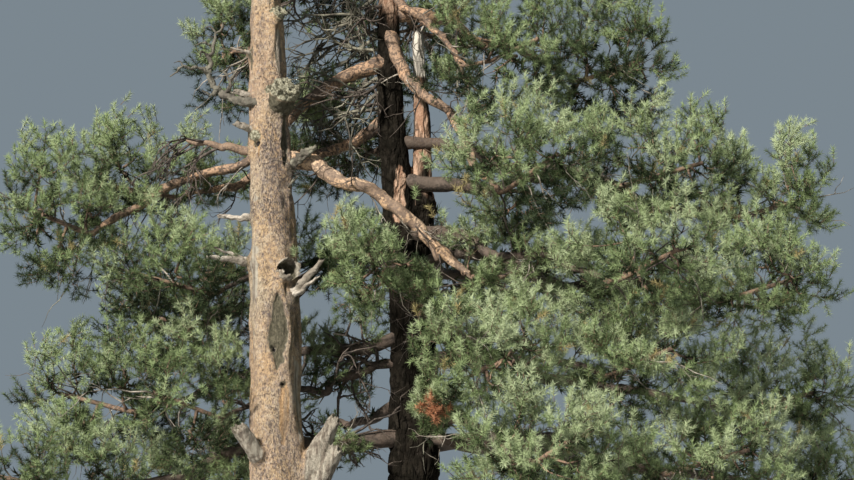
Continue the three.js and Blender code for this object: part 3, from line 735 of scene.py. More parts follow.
def bough_bark_finish(name, main, second, flecks):
    """Thin flaking bark of the boughs, in two colours with flecks of a third."""
    finish = Finish(name, 0.84, main)
    broad = finish.clouds(3.5, 3.0).above(0.4, 0.62)
    colour = finish.mix(broad, main, second)
    first, other = finish.flakes(48.0)
    colour = finish.mix((first - 0.62).above(0, 0.08) * 0.75, colour, flecks)
    pit = (0.07, 0.05, 0.04)
    colour = finish.mix((other - 0.86).above(0, 0.04) * 0.8, colour, pit)
    worn = finish.clouds(30.0, 6.0, (1, 1, 1), 0.75)
    colour = finish.mix(worn.above(0.55, 0.6) * 0.6, colour, flecks)
    colour = finish.mix(finish.mark(DARK).above(0.2, 0.8) * 0.75, colour, flecks)
    finish.set("Base Color", colour)
    finish.bump(first * 0.6 + finish.clouds(60.0, 4.0) * 0.9, 0.006)
    return finish.material


def dead_wood_finish(name, main, second):
    """Dry wood with cracks and darker weathered places."""
    finish = Finish(name, 0.86, main)
    broad = finish.clouds(6.0, 4.0).above(0.36, 0.66)
    fine = finish.clouds(40.0, 4.0).above(0.4, 0.7)
    crack = (0.14, 0.115, 0.095)
    colour = finish.mix(broad, second, main)
    colour = finish.mix(fine * 0.55, colour, crack)
    finish.set("Base Color", colour)
    finish.bump(fine + finish.clouds(90.0, 3.0), 0.004)
    return finish.material


def plain_finish(name, colour, roughness):
    """One even colour, for the floor and for the needles, whose colours are dealt out by shoot."""
    finish = Finish(name, roughness, colour)
    finish.set("Specular IOR Level", 0.15)
    return finish.material


# Meshes.


def select_only(*objects):
    """Selects these objects and nothing else."""
    for each in bpy.context.selected_objects:
        each.select_set(False)
    for each in objects:
        each.select_set(True)
    if objects:
        bpy.context.view_layer.objects.active = objects[0]


def extrude_limb(name, line, sides, rings, grow=1.08):
    """A round limb, extruded ring by ring, each turned and sized to the line and grown a bit."""
    steps = np.linspace(0, 1, rings + 1)
    places, headings = line.place(steps), line.heading(steps)
    radii = line.radius(steps) * grow
    select_only()
    bpy.ops.mesh.primitive_circle_add(
        vertices=sides, radius=float(radii[0]), fill_type="NGON", location=places[0],
        rotation=Vector(headings[0]).to_track_quat("Z", "Y").to_euler(),
    )
    limb = bpy.context.object
    limb.name = name
    bpy.ops.object.transform_apply(location=True, rotation=True, scale=True)
    bpy.ops.object.mode_set(mode="EDIT")
    bpy.ops.mesh.select_all(action="SELECT")
    for i in range(rings):
        step = places[i + 1] - places[i]
        bpy.ops.mesh.extrude_region_move(TRANSFORM_OT_translate={"value": tuple(step)})
        centre = tuple(places[i + 1])
        turn = np.cross(headings[i], headings[i + 1])
        for axis, amount in zip("XYZ", turn):
            if abs(amount) > 0.01:
                bpy.ops.transform.rotate(
                    value=-float(amount), orient_axis=axis, orient_type="GLOBAL",
                    center_override=centre,
                )
        ratio = float(radii[i + 1] / radii[i])
        bpy.ops.transform.resize(value=(ratio, ratio, ratio), center_override=centre)
    bpy.ops.mesh.select_all(action="SELECT")
    bpy.ops.mesh.normals_make_consistent(inside=False)
    bpy.ops.object.mode_set(mode="OBJECT")
    return limb


def apply_modifier(piece, kind, **settings):
    """Adds a modifier with its settings and applies it."""
    select_only(piece)
    modifier = piece.modifiers.new(kind.title(), kind)
    for name, value in settings.items():
        setattr(modifier, name, value)
    bpy.ops.object.modifier_apply(modifier=modifier.name)


def subdivide(piece, levels):
    apply_modifier(piece, "SUBSURF", levels=levels, render_levels=levels)


def join(name, pieces):
    """Several objects as one, or the only one, under that name."""
    select_only(*pieces)
    if len(pieces) > 1:
        bpy.ops.object.join()
    joined = bpy.context.view_layer.objects.active
    joined.name = name
    joined.data.name = name
    return joined


def read_places(piece):
    """Where a mesh's vertices are, and their normals."""
    places = np.empty(len(piece.data.vertices) * 3)
    piece.data.vertices.foreach_get("co", places)
    normals = np.empty(len(piece.data.vertices) * 3)
    piece.data.vertices.foreach_get("normal", normals)
    return places.reshape(-1, 3), normals.reshape(-1, 3)


def write_places(piece, places):
    piece.data.vertices.foreach_set("co", places.ravel())
    piece.data.update()


def write_marks(piece, marks):
    """Keeps masks per vertex: grey wood, fresh or red bark, dark, and a crust or the back."""
    layer = piece.data.color_attributes.new("marks", "FLOAT_COLOR", "POINT")
    rows = np.zeros((len(marks), 4))
    rows[:, : marks.shape[1]] = np.clip(marks, 0, 1)
    layer.data.foreach_set("color", rows.ravel())


def roughness_of(places, scale, octaves=4, offset=0.0):
    """Fractal noise at each place, about -1 to 1."""
    scale = np.asarray(scale, float)
    return np.array([noise.fractal(Vector(p), 1.0, 2.0, octaves) for p in places * scale + offset])


def plates_of(places, scale):
    """How far each place is from the edge of its bark plate, 0 at the edge."""
    scaled = places * np.asarray(scale, float)
    found = np.array([noise.voronoi(Vector(p))[0][:2] for p in scaled])
    return found[:, 1] - found[:, 0]


def smooth(values, low, high):
    """0 below low, 1 above high, and smooth between."""
    t = np.clip((values - low) / (high - low), 0, 1)
    return t * t * (3 - 2 * t)


def bell(values, middle, width):
    """1 at the middle, and less to both sides."""
    return np.exp(-(((values - middle) / width) ** 2))


def raise_mark(marks, channel, mask):
    """Raises one channel of the marks to the mask, where that is more."""
    marks[:, channel] = np.maximum(marks[:, channel], mask)


def finish_piece(piece, material, nodes):
    """Gives a piece its material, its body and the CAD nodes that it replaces."""
    piece.data.materials.clear()
    piece.data.materials.append(material)
    select_only(piece)
    bpy.ops.object.shade_smooth()
    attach(piece, "root")
    if nodes:
        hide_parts(*nodes)


def away_from_line(places, line, samples=80):
    """For each place: the nearest share of the line, and the distance from it."""
    steps = np.linspace(0, 1, samples)
    track = line.place(steps)
    best = np.full(len(places), np.inf)
    share = np.zeros(len(places))
    for t, point in zip(steps, track):
        far = np.linalg.norm(places - point, axis=1)
        closer = far < best
        best[closer], share[closer] = far[closer], t
    return share, best


def ragged_tip(places, normals, line, depth):
    """Splinters at the broken end of a stub, and a mask of the wood that it bares."""
    end, heading = line.place(1.0), line.heading(1.0)
    radius = float(line.radius(1.0))
    away = places - end
    past = away @ heading
    flat = away - np.outer(past, heading)
    on_tip = (np.linalg.norm(flat, axis=1) < radius * 1.6) & (np.abs(past) < radius * 1.5)
    on_tip &= normals @ heading > 0.35
    ragged = roughness_of(flat[on_tip], 32.0, 3) - 0.25
    places[on_tip] += np.outer(ragged * depth, heading)
    return on_tip


def grooved(places, line, depth, grooves, seed, turns=3.0):
    """How far dead wood's grooves and lumps move each place in or out."""
    share, _ = away_from_line(places, line)
    centre, heading = line.place(share), line.heading(share)
    side = unit(np.cross(heading, UP) + 1e-6)
    over = np.cross(side, heading)
    away = places - centre
    angle = np.arctan2(np.sum(away * over, axis=1), np.sum(away * side, axis=1))
    wander = roughness_of(places, 6.0, 2, seed)
    return depth * (np.sin(grooves * angle + turns * share + 2.5 * wander) + wander)


def tube_arrays(paths, radii, sides):
    """Closed tapered tubes along paths of equal length, as vertices and triangles."""
    paths = np.asarray(paths, float)
    count, rings, _ = paths.shape
    side, over = square_to(unit(np.gradient(paths, axis=1)))
    angles = np.arange(sides) * 2 * np.pi / sides
    ring = (
        side[:, :, None] * np.cos(angles)[:, None] + over[:, :, None] * np.sin(angles)[:, None]
    )
    body = paths[:, :, None] + ring * np.asarray(radii)[:, :, None, None]
    vertices = np.concatenate(
        (body.reshape(count, -1, 3), paths[:, :1], paths[:, -1:]), axis=1
    )
    faces = []
    for r in range(rings - 1):
        for s in range(sides):
            a, b = r * sides + s, r * sides + (s + 1) % sides
            c, d = a + sides, b + sides
            faces += [(a, c, b), (b, c, d)]
    first, last = rings * sides, rings * sides + 1
    top = (rings - 1) * sides
    for s in range(sides):
        faces.append((first, s, (s + 1) % sides))
        faces.append((last, top + (s + 1) % sides, top + s))
    faces = np.array(faces)
    size = rings * sides + 2
    whole = faces[None] + (np.arange(count) * size)[:, None, None]
    return vertices.reshape(-1, 3), whole.reshape(-1, 3)


def spike_arrays(starts, ends, radius):
    """Three-sided spikes from each start to each end."""
    count = len(starts)
    side, over = square_to(unit(ends - starts))
    corners = (side, -0.5 * side + 0.87 * over, -0.5 * side - 0.87 * over)
    vertices = np.stack([starts + radius * corner for corner in corners] + [ends], axis=1)
    faces = np.array(((0, 1, 3), (1, 2, 3), (2, 0, 3), (0, 2, 1)))
    whole = faces[None] + (np.arange(count) * 4)[:, None, None]
    return vertices.reshape(-1, 3), whole.reshape(-1, 3)


def mesh_piece(name, vertices, triangles, kinds=None):
    """An object from arrays of vertices and triangles."""
    mesh = bpy.data.meshes.new(name)
    mesh.vertices.add(len(vertices))
    mesh.vertices.foreach_set("co", np.asarray(vertices, np.float32).ravel())
    mesh.loops.add(len(triangles) * 3)
    mesh.loops.foreach_set("vertex_index", np.asarray(triangles, np.int32).ravel())
    mesh.polygons.add(len(triangles))
    mesh.polygons.foreach_set("loop_start", np.arange(0, len(triangles) * 3, 3, dtype=np.int32))
    if kinds is not None:
        mesh.polygons.foreach_set("material_index", np.asarray(kinds, np.int32))
    mesh.update()
    mesh.validate()
    piece = bpy.data.objects.new(name, mesh)
    bpy.context.collection.objects.link(piece)
    return piece


# The needles and twigs of a mass.


Twig = namedtuple("Twig", "mass path radii")
Pad = namedtuple("Pad", "mass base heading length tilt tone")


class Growth:
    """The twigs and pads of every mass, as lists."""

    def __init__(self, sizes):
        self.sizes = sizes
        self.twigs = []
        self.pads = []

    def grow(self, mass):
        """The main twigs to some of the goals, and side twigs from those to the rest."""
        random = seeded(TWIG_SEED + mass.index)
        stem = mass.own_stem()
        count = round(SPRAYS * float(np.cbrt(np.prod(mass.halves))))
        goals = mass.goals(count, random)
        axes = [(stem.place(0.8), stem.place(1.0))]
        is_own = mass.kind == "own"
        for k, goal in enumerate(goals):
            if k % SPRAYS_PER_TWIG == 1:
                along = float((goal - mass.middle) @ mass.out) / mass.halves[0]
                share = 0.8 + 0.12 * along if is_own else 0.5 + 0.25 * along
                start = stem.place(share)
                axes.append((start, start + (goal - start) * TWIG_REACH))
                self.add_twig(start, goal, TWIG_FOOT, random, mass)
        used = [0] * len(axes)
        for k, goal in enumerate(goals):
            if k % SPRAYS_PER_TWIG == 1:
                continue
            near = min(range(len(axes)), key=lambda i: np.linalg.norm(axes[i][1] - goal))
            leave, end = axes[near]
            start = leave + (end - leave) * max(0.85 - 0.17 * used[near], 0.1)
            used[near] += 1
            self.add_twig(start, goal, SIDE_TWIG_FOOT, random, mass)
        self.add_inner(mass, random, count)
        if mass.kind != "top" and mass.stem == "far" and (mass.leftward or not mass.high):
            self.add_sprigs(mass, random)
        if mass.name == FILLED_MASS:
            start = mass.bough().place(0.3)
            for goal in FILLED_GOALS:
                self.add_twig(start, np.array(goal), FINE_TWIG_FOOT, random, mass)
        if mass.name == RUSTY_MASS:
            start = mass.bough().place(0.2)
            for turn in range(RUSTY_TWIGS):
                lead = np.array((math.cos(turn), -0.4, 0.7 * math.sin(turn)))
                goal = RUSTY + lead * (0.05 + 0.016 * turn) + UP * 0.06
                self.add_twig(start, goal, RUSTY_TWIG_FOOT, random, mass)

    def add_sprigs(self, mass, random):
        """Short twigs along a bough, before it reaches its mass. High ones grow to the back."""
        line = mass.bough()
        back = np.array((0, 1.5 if mass.high else 0, 0))
        count = self.sizes.sprigs_per_metre * line.reach() * (1.9 if mass.leftward else 1)
        for k in range(round(count)):
            share = 0.1 + (0.5 if mass.leftward and k % 2 else 0.8) * random()
            heading = line.heading(share) * 0.5 + mass.axes[1] * 2 * (random() - 0.5)
            heading = unit(heading + back + UP * (1.5 * random() - 0.6))
            start = line.place(share)
            goal = start + heading * (0.35 + 0.3 * random())
            self.add_twig(start, goal, SPRIG_FOOT, random, mass)

    def add_inner(self, mass, random, count):
        """Finer twigs from the ones already there, to goals between theirs and further in."""
        spots = np.concatenate([twig.path[1:4] for twig in self.twigs if twig.mass is mass])
        more = mass.goals(round(count * self.sizes.outer_share), random, 1.08)
        more += mass.goals(round(count * self.sizes.inner_share), random, 0.62)
        for goal in more:
            start = spots[np.argmin(np.linalg.norm(spots - goal, axis=1))]
            self.add_twig(start, goal, FINE_TWIG_FOOT, random, mass)

    def add_twig(self, start, goal, radius, random, mass):
        """A twig that bows a little and ends in a pad of shoots."""
        along = goal - start
        far = float(np.linalg.norm(along))
        pad = min(self.sizes.pad_length * (0.85 + 0.3 * random()), 0.85 * far)
        heading = unit(unit(along) + UP * 0.12)
        base = goal - heading * pad
        side = unit(np.cross(along, UP) + 1e-6)
        bow = (random() - 0.5) * 0.16 * far
        drop = 0.1 * far * random()
        steps = np.linspace(0, 1, 5)[:, None]
        path = start + (base - start) * steps
        path = path + np.sin(np.pi * steps) * (side * bow - UP * drop)
        radii = radius + (TWIG_TIP - radius) * steps[:, 0]
        self.twigs.append(Twig(mass, path, radii))
        self.pads.append(Pad(mass, base, heading, pad, random() * 2 - 1, random()))


# A pad of shoots, in shares of its length: the start and the end of each as forward, sideways
# and upwards, and the share of it that is bare wood.
PAD_SHOOTS = [
    ((0.0, 0.0, 0.0), (0.42, 0.0, 0.0), 0.5),
    ((0.42, 0.0, 0.0), (0.78, 0.0, 0.08), 0.3),
    ((0.78, 0.0, 0.08), (1.02, 0.0, 0.3), 0.2),
    ((0.2, 0.0, 0.0), (0.45, 0.3, 0.05), 0.5),
    ((0.45, 0.3, 0.05), (0.56, 0.43, 0.32), 0.25),
    ((0.32, 0.0, 0.0), (0.58, -0.3, 0.05), 0.4),
    ((0.58, -0.3, 0.05), (0.68, -0.43, 0.33), 0.25),
    ((0.5, 0.0, 0.02), (0.76, 0.24, 0.12), 0.4),
    ((0.76, 0.24, 0.12), (0.9, 0.34, 0.38), 0.3),
    ((0.6, 0.0, 0.04), (0.88, -0.22, 0.14), 0.4),
    ((0.88, -0.22, 0.14), (1.02, -0.32, 0.4), 0.3),
    ((0.3, 0.05, 0.02), (0.38, 0.12, 0.38), 0.3),
    ((0.52, -0.05, 0.03), (0.6, -0.14, 0.44), 0.35),
    ((0.7, 0.02, 0.06), (0.82, 0.05, 0.46), 0.35),
    ((0.4, 0.24, 0.05), (0.36, 0.38, 0.34), 0.3),
    ((0.5, -0.24, 0.05), (0.46, -0.38, 0.36), 0.3),
    ((0.5, 0.1, 0.0), (0.72, 0.2, -0.17), 0.35),
    ((0.4, -0.1, 0.0), (0.62, -0.22, -0.15), 0.35),
]


def pad_segments(pads, rng):
    """The shoots of many pads: their starts, ends, bare shares and owners."""
    bases = np.array([pad.base for pad in pads])
    headings = np.array([pad.heading for pad in pads])
    lengths = np.array([pad.length for pad in pads])
    turn = np.array([pad.tilt for pad in pads])[:, None] * 0.7
    side = unit(np.cross(headings, UP) + 1e-6)
    over = np.cross(side, headings)
    cos, sin = np.cos(turn), np.sin(turn)
    side, over = side * cos + over * sin, over * cos - side * sin
    starts, ends, bare, owner = [], [], [], []
    for k, (first, last, share) in enumerate(PAD_SHOOTS):
        jitter = rng.normal(0, 0.035, (len(pads), 3)) * (1 if k else 0.3)
        keep = rng.random(len(pads)) < (1 if k < 4 else 0.88)
        for target, spot, loose in ((starts, first, 0), (ends, last, 1)):
            local = np.array(spot)[None] + jitter * loose
            place = (
                headings * local[:, :1] + side * local[:, 1:2] + over * local[:, 2:]
            ) * lengths[:, None]
            target.append((bases + place)[keep])
        bare.append(np.full(keep.sum(), share))
        owner.append(np.arange(len(pads))[keep])
    return (np.concatenate(part) for part in (starts, ends, bare, owner))


def clear_of_stems(places, room):
    """True where a place is further than that from both stems' bark."""
    clear = np.ones(len(places), bool)
    for line in (*STEM_LINES.values(), LEADER_LINE):
        steps = np.linspace(0, 1, 120)
        track, radii = line.place(steps), line.radius(steps)
        for point, radius in zip(track, radii):
            clear &= np.linalg.norm(places - point, axis=1) > radius + room
    return clear


def in_front_of_bough(places):
    """True where a place would hide the near stem's bare bough or hollow from the front."""
    line = next(mass for mass in ALL_MASSES if mass.name == BARE_FRONT).bough()
    hides = np.zeros(len(places), bool)
    spots = [(*point, BOUGH_ROOM) for point in line.place(np.linspace(0, 0.96, 60))]
    for *point, room in (*spots, *HOLLOW_ROOM):
        away = places - point
        flat = np.hypot(away[:, 0], away[:, 2] - SIGHT_RISE * away[:, 1])
        hides |= (flat < room) & (away[:, 1] < 0.12)
    return hides


def needle_arrays(starts, ends, bare, coarse, outward, fineness, sizes, rng):
    """Needles all round each shoot, leaning forward, each one slim pointed face."""
    along = ends - starts
    far = np.linalg.norm(along, axis=1)
    density = sizes.needles_per_metre * fineness * np.where(coarse, INNER_DENSITY, 1)
    counts = np.maximum((density * far * (1 - 0.6 * bare)).astype(int), 8)
    total = counts.sum()
    shoot = np.repeat(np.arange(len(starts)), counts)
    order = np.arange(total) - np.repeat(np.cumsum(counts) - counts, counts)
    axis = unit(along)[shoot]
    side, over = square_to(axis)
    share = (order + rng.random(total)) / counts[shoot]
    place = bare[shoot] + (1 - bare[shoot]) * share
    roots = starts[shoot] + along[shoot] * place[:, None]
    around = rng.random(total) * 2 * np.pi
    lean = np.radians(70 - 24 * share**2 + rng.normal(0, 17, total) * (1 + 0.4 * share))
    out = side * np.cos(around)[:, None] + over * np.sin(around)[:, None]
    heading = axis * np.cos(lean)[:, None] + out * np.sin(lean)[:, None]
    heading = unit(heading + UP * 0.12)
    rough = coarse[shoot]
    length = sizes.needle_length * (0.78 + 0.34 * rng.random(total))
    length = length * np.where(rough, INNER_LENGTH, 1)
    wide = sizes.needle_width / 2 * np.where(rough, INNER_WIDTH, 1) / fineness[shoot] ** 0.8
    facing = outward[shoot] + rng.normal(0, 0.7, (total, 3))
    across = unit(np.cross(heading, facing)) * wide[:, None]
    tips = roots + heading * length[:, None]
    vertices = np.stack((roots - across, roots + across, tips), axis=1)
    return vertices.astype(np.float32), shoot


def mass_groups(growth, sizes):
    """The masses in groups, each of whose needles stay under a piece's limit."""
    groups, load = [[]], 0
    for mass in ALL_MASSES:
        weight = mass.fineness * sum(pad.length for pad in growth.pads if pad.mass is mass)
        weight *= sizes.needles_per_metre * NEEDLES_PER_PAD_LENGTH
        if load + weight > PIECE_LIMIT:
            groups.append([])
            load = 0
        groups[-1].append(mass)
        load += weight
    return groups


def all_shoots(pads, paths, rng):
    """The shoots of the pads, and coarse ones along the twigs, wherever these have room."""
    starts, ends, bare, owner = pad_segments(pads, rng)
    inner = np.array(paths)[:, 1:]
    steps = inner.shape[1] - 1
    coarse = np.arange(len(starts) + len(inner) * steps) >= len(starts)
    starts = np.concatenate((starts, inner[:, :-1].reshape(-1, 3)))
    ends = np.concatenate((ends, inner[:, 1:].reshape(-1, 3)))
    bare = np.concatenate((bare, np.zeros(len(inner) * steps)))
    owner = np.concatenate((owner, np.repeat(np.arange(len(inner)), steps)))
    middles = (starts + ends) / 2
    keep = clear_of_stems(middles, SHOOT_ROOM) & clear_of_stems(ends, SHOOT_END_ROOM)
    keep &= ~in_front_of_bough(middles) & ~in_front_of_bough(ends)
    low, high = (np.array(corner) for corner in CAD_BOX)
    keep &= np.all((ends > low - PAST_SOLIDS) & (ends < high + PAST_SOLIDS), axis=1)
    keep &= ~coarse | (rng.random(len(coarse)) < INNER_KEPT)
    return (part[keep] for part in (starts, ends, bare, owner, coarse))


def needle_pieces(growth, sizes, materials):
    """Makes the pieces of needles, and gives the starts and ends of their outer shoots."""
    rng = np.random.default_rng(NEEDLE_SEED)
    outer = []
    for number, masses in enumerate(mass_groups(growth, sizes), 1):
        pads = [pad for pad in growth.pads if pad.mass in masses]
        paths = [twig.path for twig in growth.twigs if twig.mass in masses]
        starts, ends, bare, owner, coarse = all_shoots(pads, paths, rng)
        outer.append((starts[~coarse], ends[~coarse]))
        homes = np.array([pad.mass.middle for pad in pads])[owner]
        outward = unit(unit((starts + ends) / 2 - homes) + TOWARDS_LIGHT)
        fineness = np.array([pad.mass.fineness for pad in pads])[owner]
        vertices, shoot = needle_arrays(
            starts, ends, bare, coarse, outward, fineness, sizes, rng
        )
        kinds = colour_kinds(pads, starts, ends, owner, coarse, rng)
        faces = np.arange(len(vertices) * 3).reshape(-1, 3)
        piece = mesh_piece(f"needles_{number}", vertices.reshape(-1, 3), faces, kinds[shoot])
        for material in materials:
            piece.data.materials.append(material)
        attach(piece, "root")
        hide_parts(*["mass_" + mass.name for mass in masses])
    return outer


def colour_kinds(pads, starts, ends, owner, coarse, rng):
    """Which of the needle colours each shoot takes: painted light above and outside a mass,
    painted shade within it, and tone that differs at random.
    """
    middles = (starts + ends) / 2
    tops = np.empty(len(starts))
    for i, pad in enumerate(pads):
        rows = owner == i
        away = (middles[rows] - pad.mass.middle) @ pad.mass.axes.T / pad.mass.halves
        far = np.linalg.norm(away, axis=1)
        # Painted light on a mass's top and skin, and painted shade on shoots well outside it, near
        # the stems.
        out = 0.35 * np.minimum(far, 1.1) - 0.3 * (far > 1.3)
        tops[rows] = 0.4 * np.clip(away[:, 2], -1, 1) + out + 0.7 * (pad.tone - 0.5)
    tone = tops + rng.normal(0, 0.12, len(starts))
    # Painted light on the low right masses, which those above shade, and a little painted shade on
    # the left.
    lower_right = (middles[:, 0] > 1.2) & (middles[:, 2] < 7.5)
    tone += np.where(lower_right, 0.2, np.where(middles[:, 0] < -0.6, -0.05, 0.03))
    kinds = np.digitize(tone, TONE_STEPS)
    kinds = np.where(rng.random(len(starts)) < OLD_SHARE, NEEDLE_COLOURS.index("old"), kinds)
    rusty = np.linalg.norm((middles - RUSTY) * (1, 0.6, 1.4), axis=1) < RUSTY_RADIUS
    kinds = np.where(rusty, NEEDLE_COLOURS.index("rusty"), kinds)
    # Painted shade: the coarse needles inside a mass take the two darkest colours.
    return np.where(coarse & ~rusty, rng.integers(0, 2, len(starts)), kinds)


# The add-on.


def length_property(name, description, default):
    return bpy.props.FloatProperty(
        name=name, description=description, default=default, subtype="DISTANCE", unit="LENGTH"
    )


def share_property(name, description, default):
    return bpy.props.FloatProperty(
        name=name, description=description, default=default, subtype="FACTOR"
    )


class PineSizes(bpy.types.PropertyGroup):
    """Sizes of the bark's relief, the twigs and the needles."""

    relief: length_property("Bark relief", "Depth of the flakes and ridges in the bark", 0.012)
    grain: length_property("Bark mesh size", "Length of a face in the stems' bark", 0.019)
    pad_length: length_property("Pad length", "Length of a twig's pad of shoots", 0.5)
    needle_length: length_property("Needle length", "Length of a needle", 0.066)
    needle_width: length_property("Needle width", "Width of a needle at its foot", 0.0068)
    outer_share: share_property("Outer pads", "Finer pads near a mass's skin, per main one", 1.0)
    inner_share: share_property("Inner pads", "Finer pads further in, per main one", 0.5)
    sprigs_per_metre: bpy.props.FloatProperty(
        name="Sprigs per metre", description="Short twigs along each metre of a low bough",
        default=2.2,
    )
    needles_per_metre: bpy.props.FloatProperty(
        name="Needles per metre", description="Needles along each metre of shoot",
        default=400.0,
    )


def colour_property(name, description, default):
    return bpy.props.FloatVectorProperty(
        name=name, description=description, default=default, subtype="COLOR", min=0, max=1
    )


class PineColours(bpy.types.PropertyGroup):
    """Colours of the bark, the dead wood and the needles."""

    bark_cream: colour_property("Cream bark", "Palest thin bark", (0.51, 0.42, 0.29))
    bark_salmon: colour_property("Salmon bark", "Reddish thin bark", (0.52, 0.36, 0.235))
    bark_ochre: colour_property("Ochre bark", "Yellow-brown thin bark", (0.57, 0.375, 0.19))
    bark_lilac: colour_property("Flecks", "Lilac-grey flecks", (0.235, 0.195, 0.185))
    bark_fresh: colour_property("Fresh bark", "Ochre bark where it has split", (0.58, 0.33, 0.13))
    # Painted shade: far darker than the bark itself, for the shade that the far stem stands in.
    bark_dark: colour_property("Old bark", "Dark plated bark", (0.009, 0.0078, 0.0058))
    dead_wood: colour_property("Dead wood", "Bleached wood", (0.5, 0.45, 0.38))
    # Painted light and shade: the next five are one needle colour, painted from the shade inside a
    # mass to the sunlight on its tips.
    needles_shade: colour_property("Shaded needles", "Innermost", (0.03, 0.045, 0.02))
    needles_deep: colour_property("Deep needles", "Low on a mass", (0.095, 0.13, 0.055))
    needles_middle: colour_property("Middle needles", "Most of a mass", (0.235, 0.305, 0.14))
    needles_light: colour_property("Light needles", "High on a mass", (0.31, 0.38, 0.2))
    needles_sunlit: colour_property("Sunlit needles", "Tips of the mass", (0.37, 0.435, 0.255))
    needles_old: colour_property("Old needles", "Golden-brown ones", (0.33, 0.28, 0.13))
    needles_rusty: colour_property("Rusty needles", "The one dead tuft", (0.46, 0.22, 0.12))


class PINE_OT_butt(bpy.types.Operator):
    """Adds the butt with its root flare and thick old bark"""

    bl_idname = "pine.butt"
    bl_label = "Butt"

    def execute(self, context):
        sizes = context.scene.pine_sizes
        select_only()
        bpy.ops.mesh.primitive_cylinder_add(
            vertices=40, radius=BUTT_RADIUS, depth=BUTT_HEIGHT, location=(0, 0, BUTT_HEIGHT / 2)
        )
        butt = context.object
        butt.name = "butt_bark"
        bpy.ops.object.transform_apply(location=True, rotation=True, scale=True)
        bpy.ops.object.mode_set(mode="EDIT")
        bpy.ops.mesh.select_all(action="SELECT")
        bpy.ops.mesh.subdivide(number_cuts=6)
        bpy.ops.object.mode_set(mode="OBJECT")
        apply_modifier(butt, "REMESH", mode="VOXEL", voxel_size=sizes.grain * 1.3)
        places, _ = read_places(butt)
        long, across = towards(BUTT_BEARING), towards(BUTT_BEARING + 90)
        height = places[:, 2]
        angle = np.arctan2(places @ across, places @ long)
        share = np.hypot(places[:, 0], places[:, 1]) / BUTT_RADIUS
        flare = np.exp(-np.maximum(height, 0) / FLARE_HEIGHT)
        lobe = 1 + LOBE_DEPTH * flare * np.cos(ROOT_LOBES * angle + 0.6)
        shoulder = 1 - (1 - BUTT_TOP) * np.clip(height / BUTT_HEIGHT, 0, 1) ** 4
        radius = (BUTT_RADIUS + FLARE * flare) * lobe * shoulder * share
        turned = np.outer(np.cos(angle) * radius * BUTT_LONG, long)
        turned = turned + np.outer(np.sin(angle) * radius / BUTT_LONG, across)
        turned[:, 2] = height
        write_places(butt, turned)
        places, normals = read_places(butt)
        plates = smooth(plates_of(places, (9, 9, 5)), 0.0, 0.25)
        depth = 0.03 * (plates - 0.7) + 0.012 * roughness_of(places, 9.0)
        depth *= smooth(places[:, 2], 0.0, 0.05)
        places += normals * depth[:, None] * np.array((1, 1, 0.3))
        places[:, 2] = np.maximum(places[:, 2], 0)
        marks = np.zeros((len(places), 3))
        marks[:, DARK] = smooth(-depth, 0.008, 0.02)
        write_places(butt, places)
        write_marks(butt, marks)
        finish_piece(butt, bpy.data.materials["far_bark"], ["butt"])
        return {"FINISHED"}


def near_stem_solid(stub_lines, grain):
    """The stem with its thick stubs, as one even mesh."""
    stem = extrude_limb("near_stem_bark", STEM_LINES["near"], 16, 24, 1.02)
    subdivide(stem, 1)
    stubs = [extrude_limb(f"stub_{i}", line, 12, 8) for i, line in enumerate(stub_lines)]
    stem = join("near_stem_bark", [stem, *stubs])
    apply_modifier(stem, "REMESH", mode="VOXEL", voxel_size=grain)
    apply_modifier(stem, "SMOOTH", factor=0.5, iterations=3)
    return stem


def near_bark_relief(places, away, marks, depth):
    """Ridges, flakes, plates low down and long cracks, the last two of which are darker."""
    angle = np.arctan2(away[:, 1], away[:, 0])
    ridges = np.sin(5 * angle + 1.9 * places[:, 2] + 2.0 * roughness_of(places, 0.9, 2))
    relief = 0.9 * depth * ridges
    relief += 2.2 * depth * roughness_of(places, (3.4, 3.4, 2.0), 3)
    flaky = roughness_of(places, (16, 16, 9), 4, 7.0)
    relief += 0.5 * depth * (np.round(flaky * 3) / 3)
    plates = smooth(plates_of(places, (13, 13, 5)), 0.0, 0.16)
    low = 1 - smooth(places[:, 2], *NEAR_PLATES_END)
    relief += (0.25 + 1.7 * low) * depth * (plates - 0.8)
    raise_mark(marks, DARK, (1 - plates) * 0.7 * low)
    cracks = smooth(roughness_of(places, (11, 11, 1.3), 3, 3.0), 0.42, 0.7)
    relief -= 1.2 * depth * cracks
    raise_mark(marks, DARK, cracks * 0.35)
    return relief - 0.02 * smooth(places[:, 2], 9.0, 10.0)


def front_marks_relief(places, front, marks):
    """Scars with a raised rim, holes, knobs, and patches of grey wood and of fresh bark."""
    relief = np.zeros(len(places))
    for kind, x, z, wide, tall, depth in FRONT_MARKS:
        edge = 1 + (0.7 if kind == "grey" else 0.3) * roughness_of(places, 7.0, 3, x * 9)
        wider, taller = np.abs(places[:, 0] - x) / wide, (places[:, 2] - z) / tall
        reach = (wider + taller**2 if kind == "scar" else np.hypot(wider, taller)) * edge
        mark = (1 - smooth(reach, 0.3 if kind == "grey" else 0.75, 1.05)) * front
        rim = bell(reach, 1.25, 0.22) * front
        relief += -depth * mark + (0.2 * depth if kind == "scar" else 0) * rim
        # A hole's dark mark paints its inside near-black as painted shade.
        channel = {"scar": GREY, "grey": GREY, "fresh": FRESH, "hole": DARK, "knob": CRUST}[kind]
        raise_mark(marks, channel, mark)
        if kind == "scar":
            raise_mark(marks, DARK, 0.55 * mark)
            raise_mark(marks, FRESH, 0.3 * rim)
    return relief


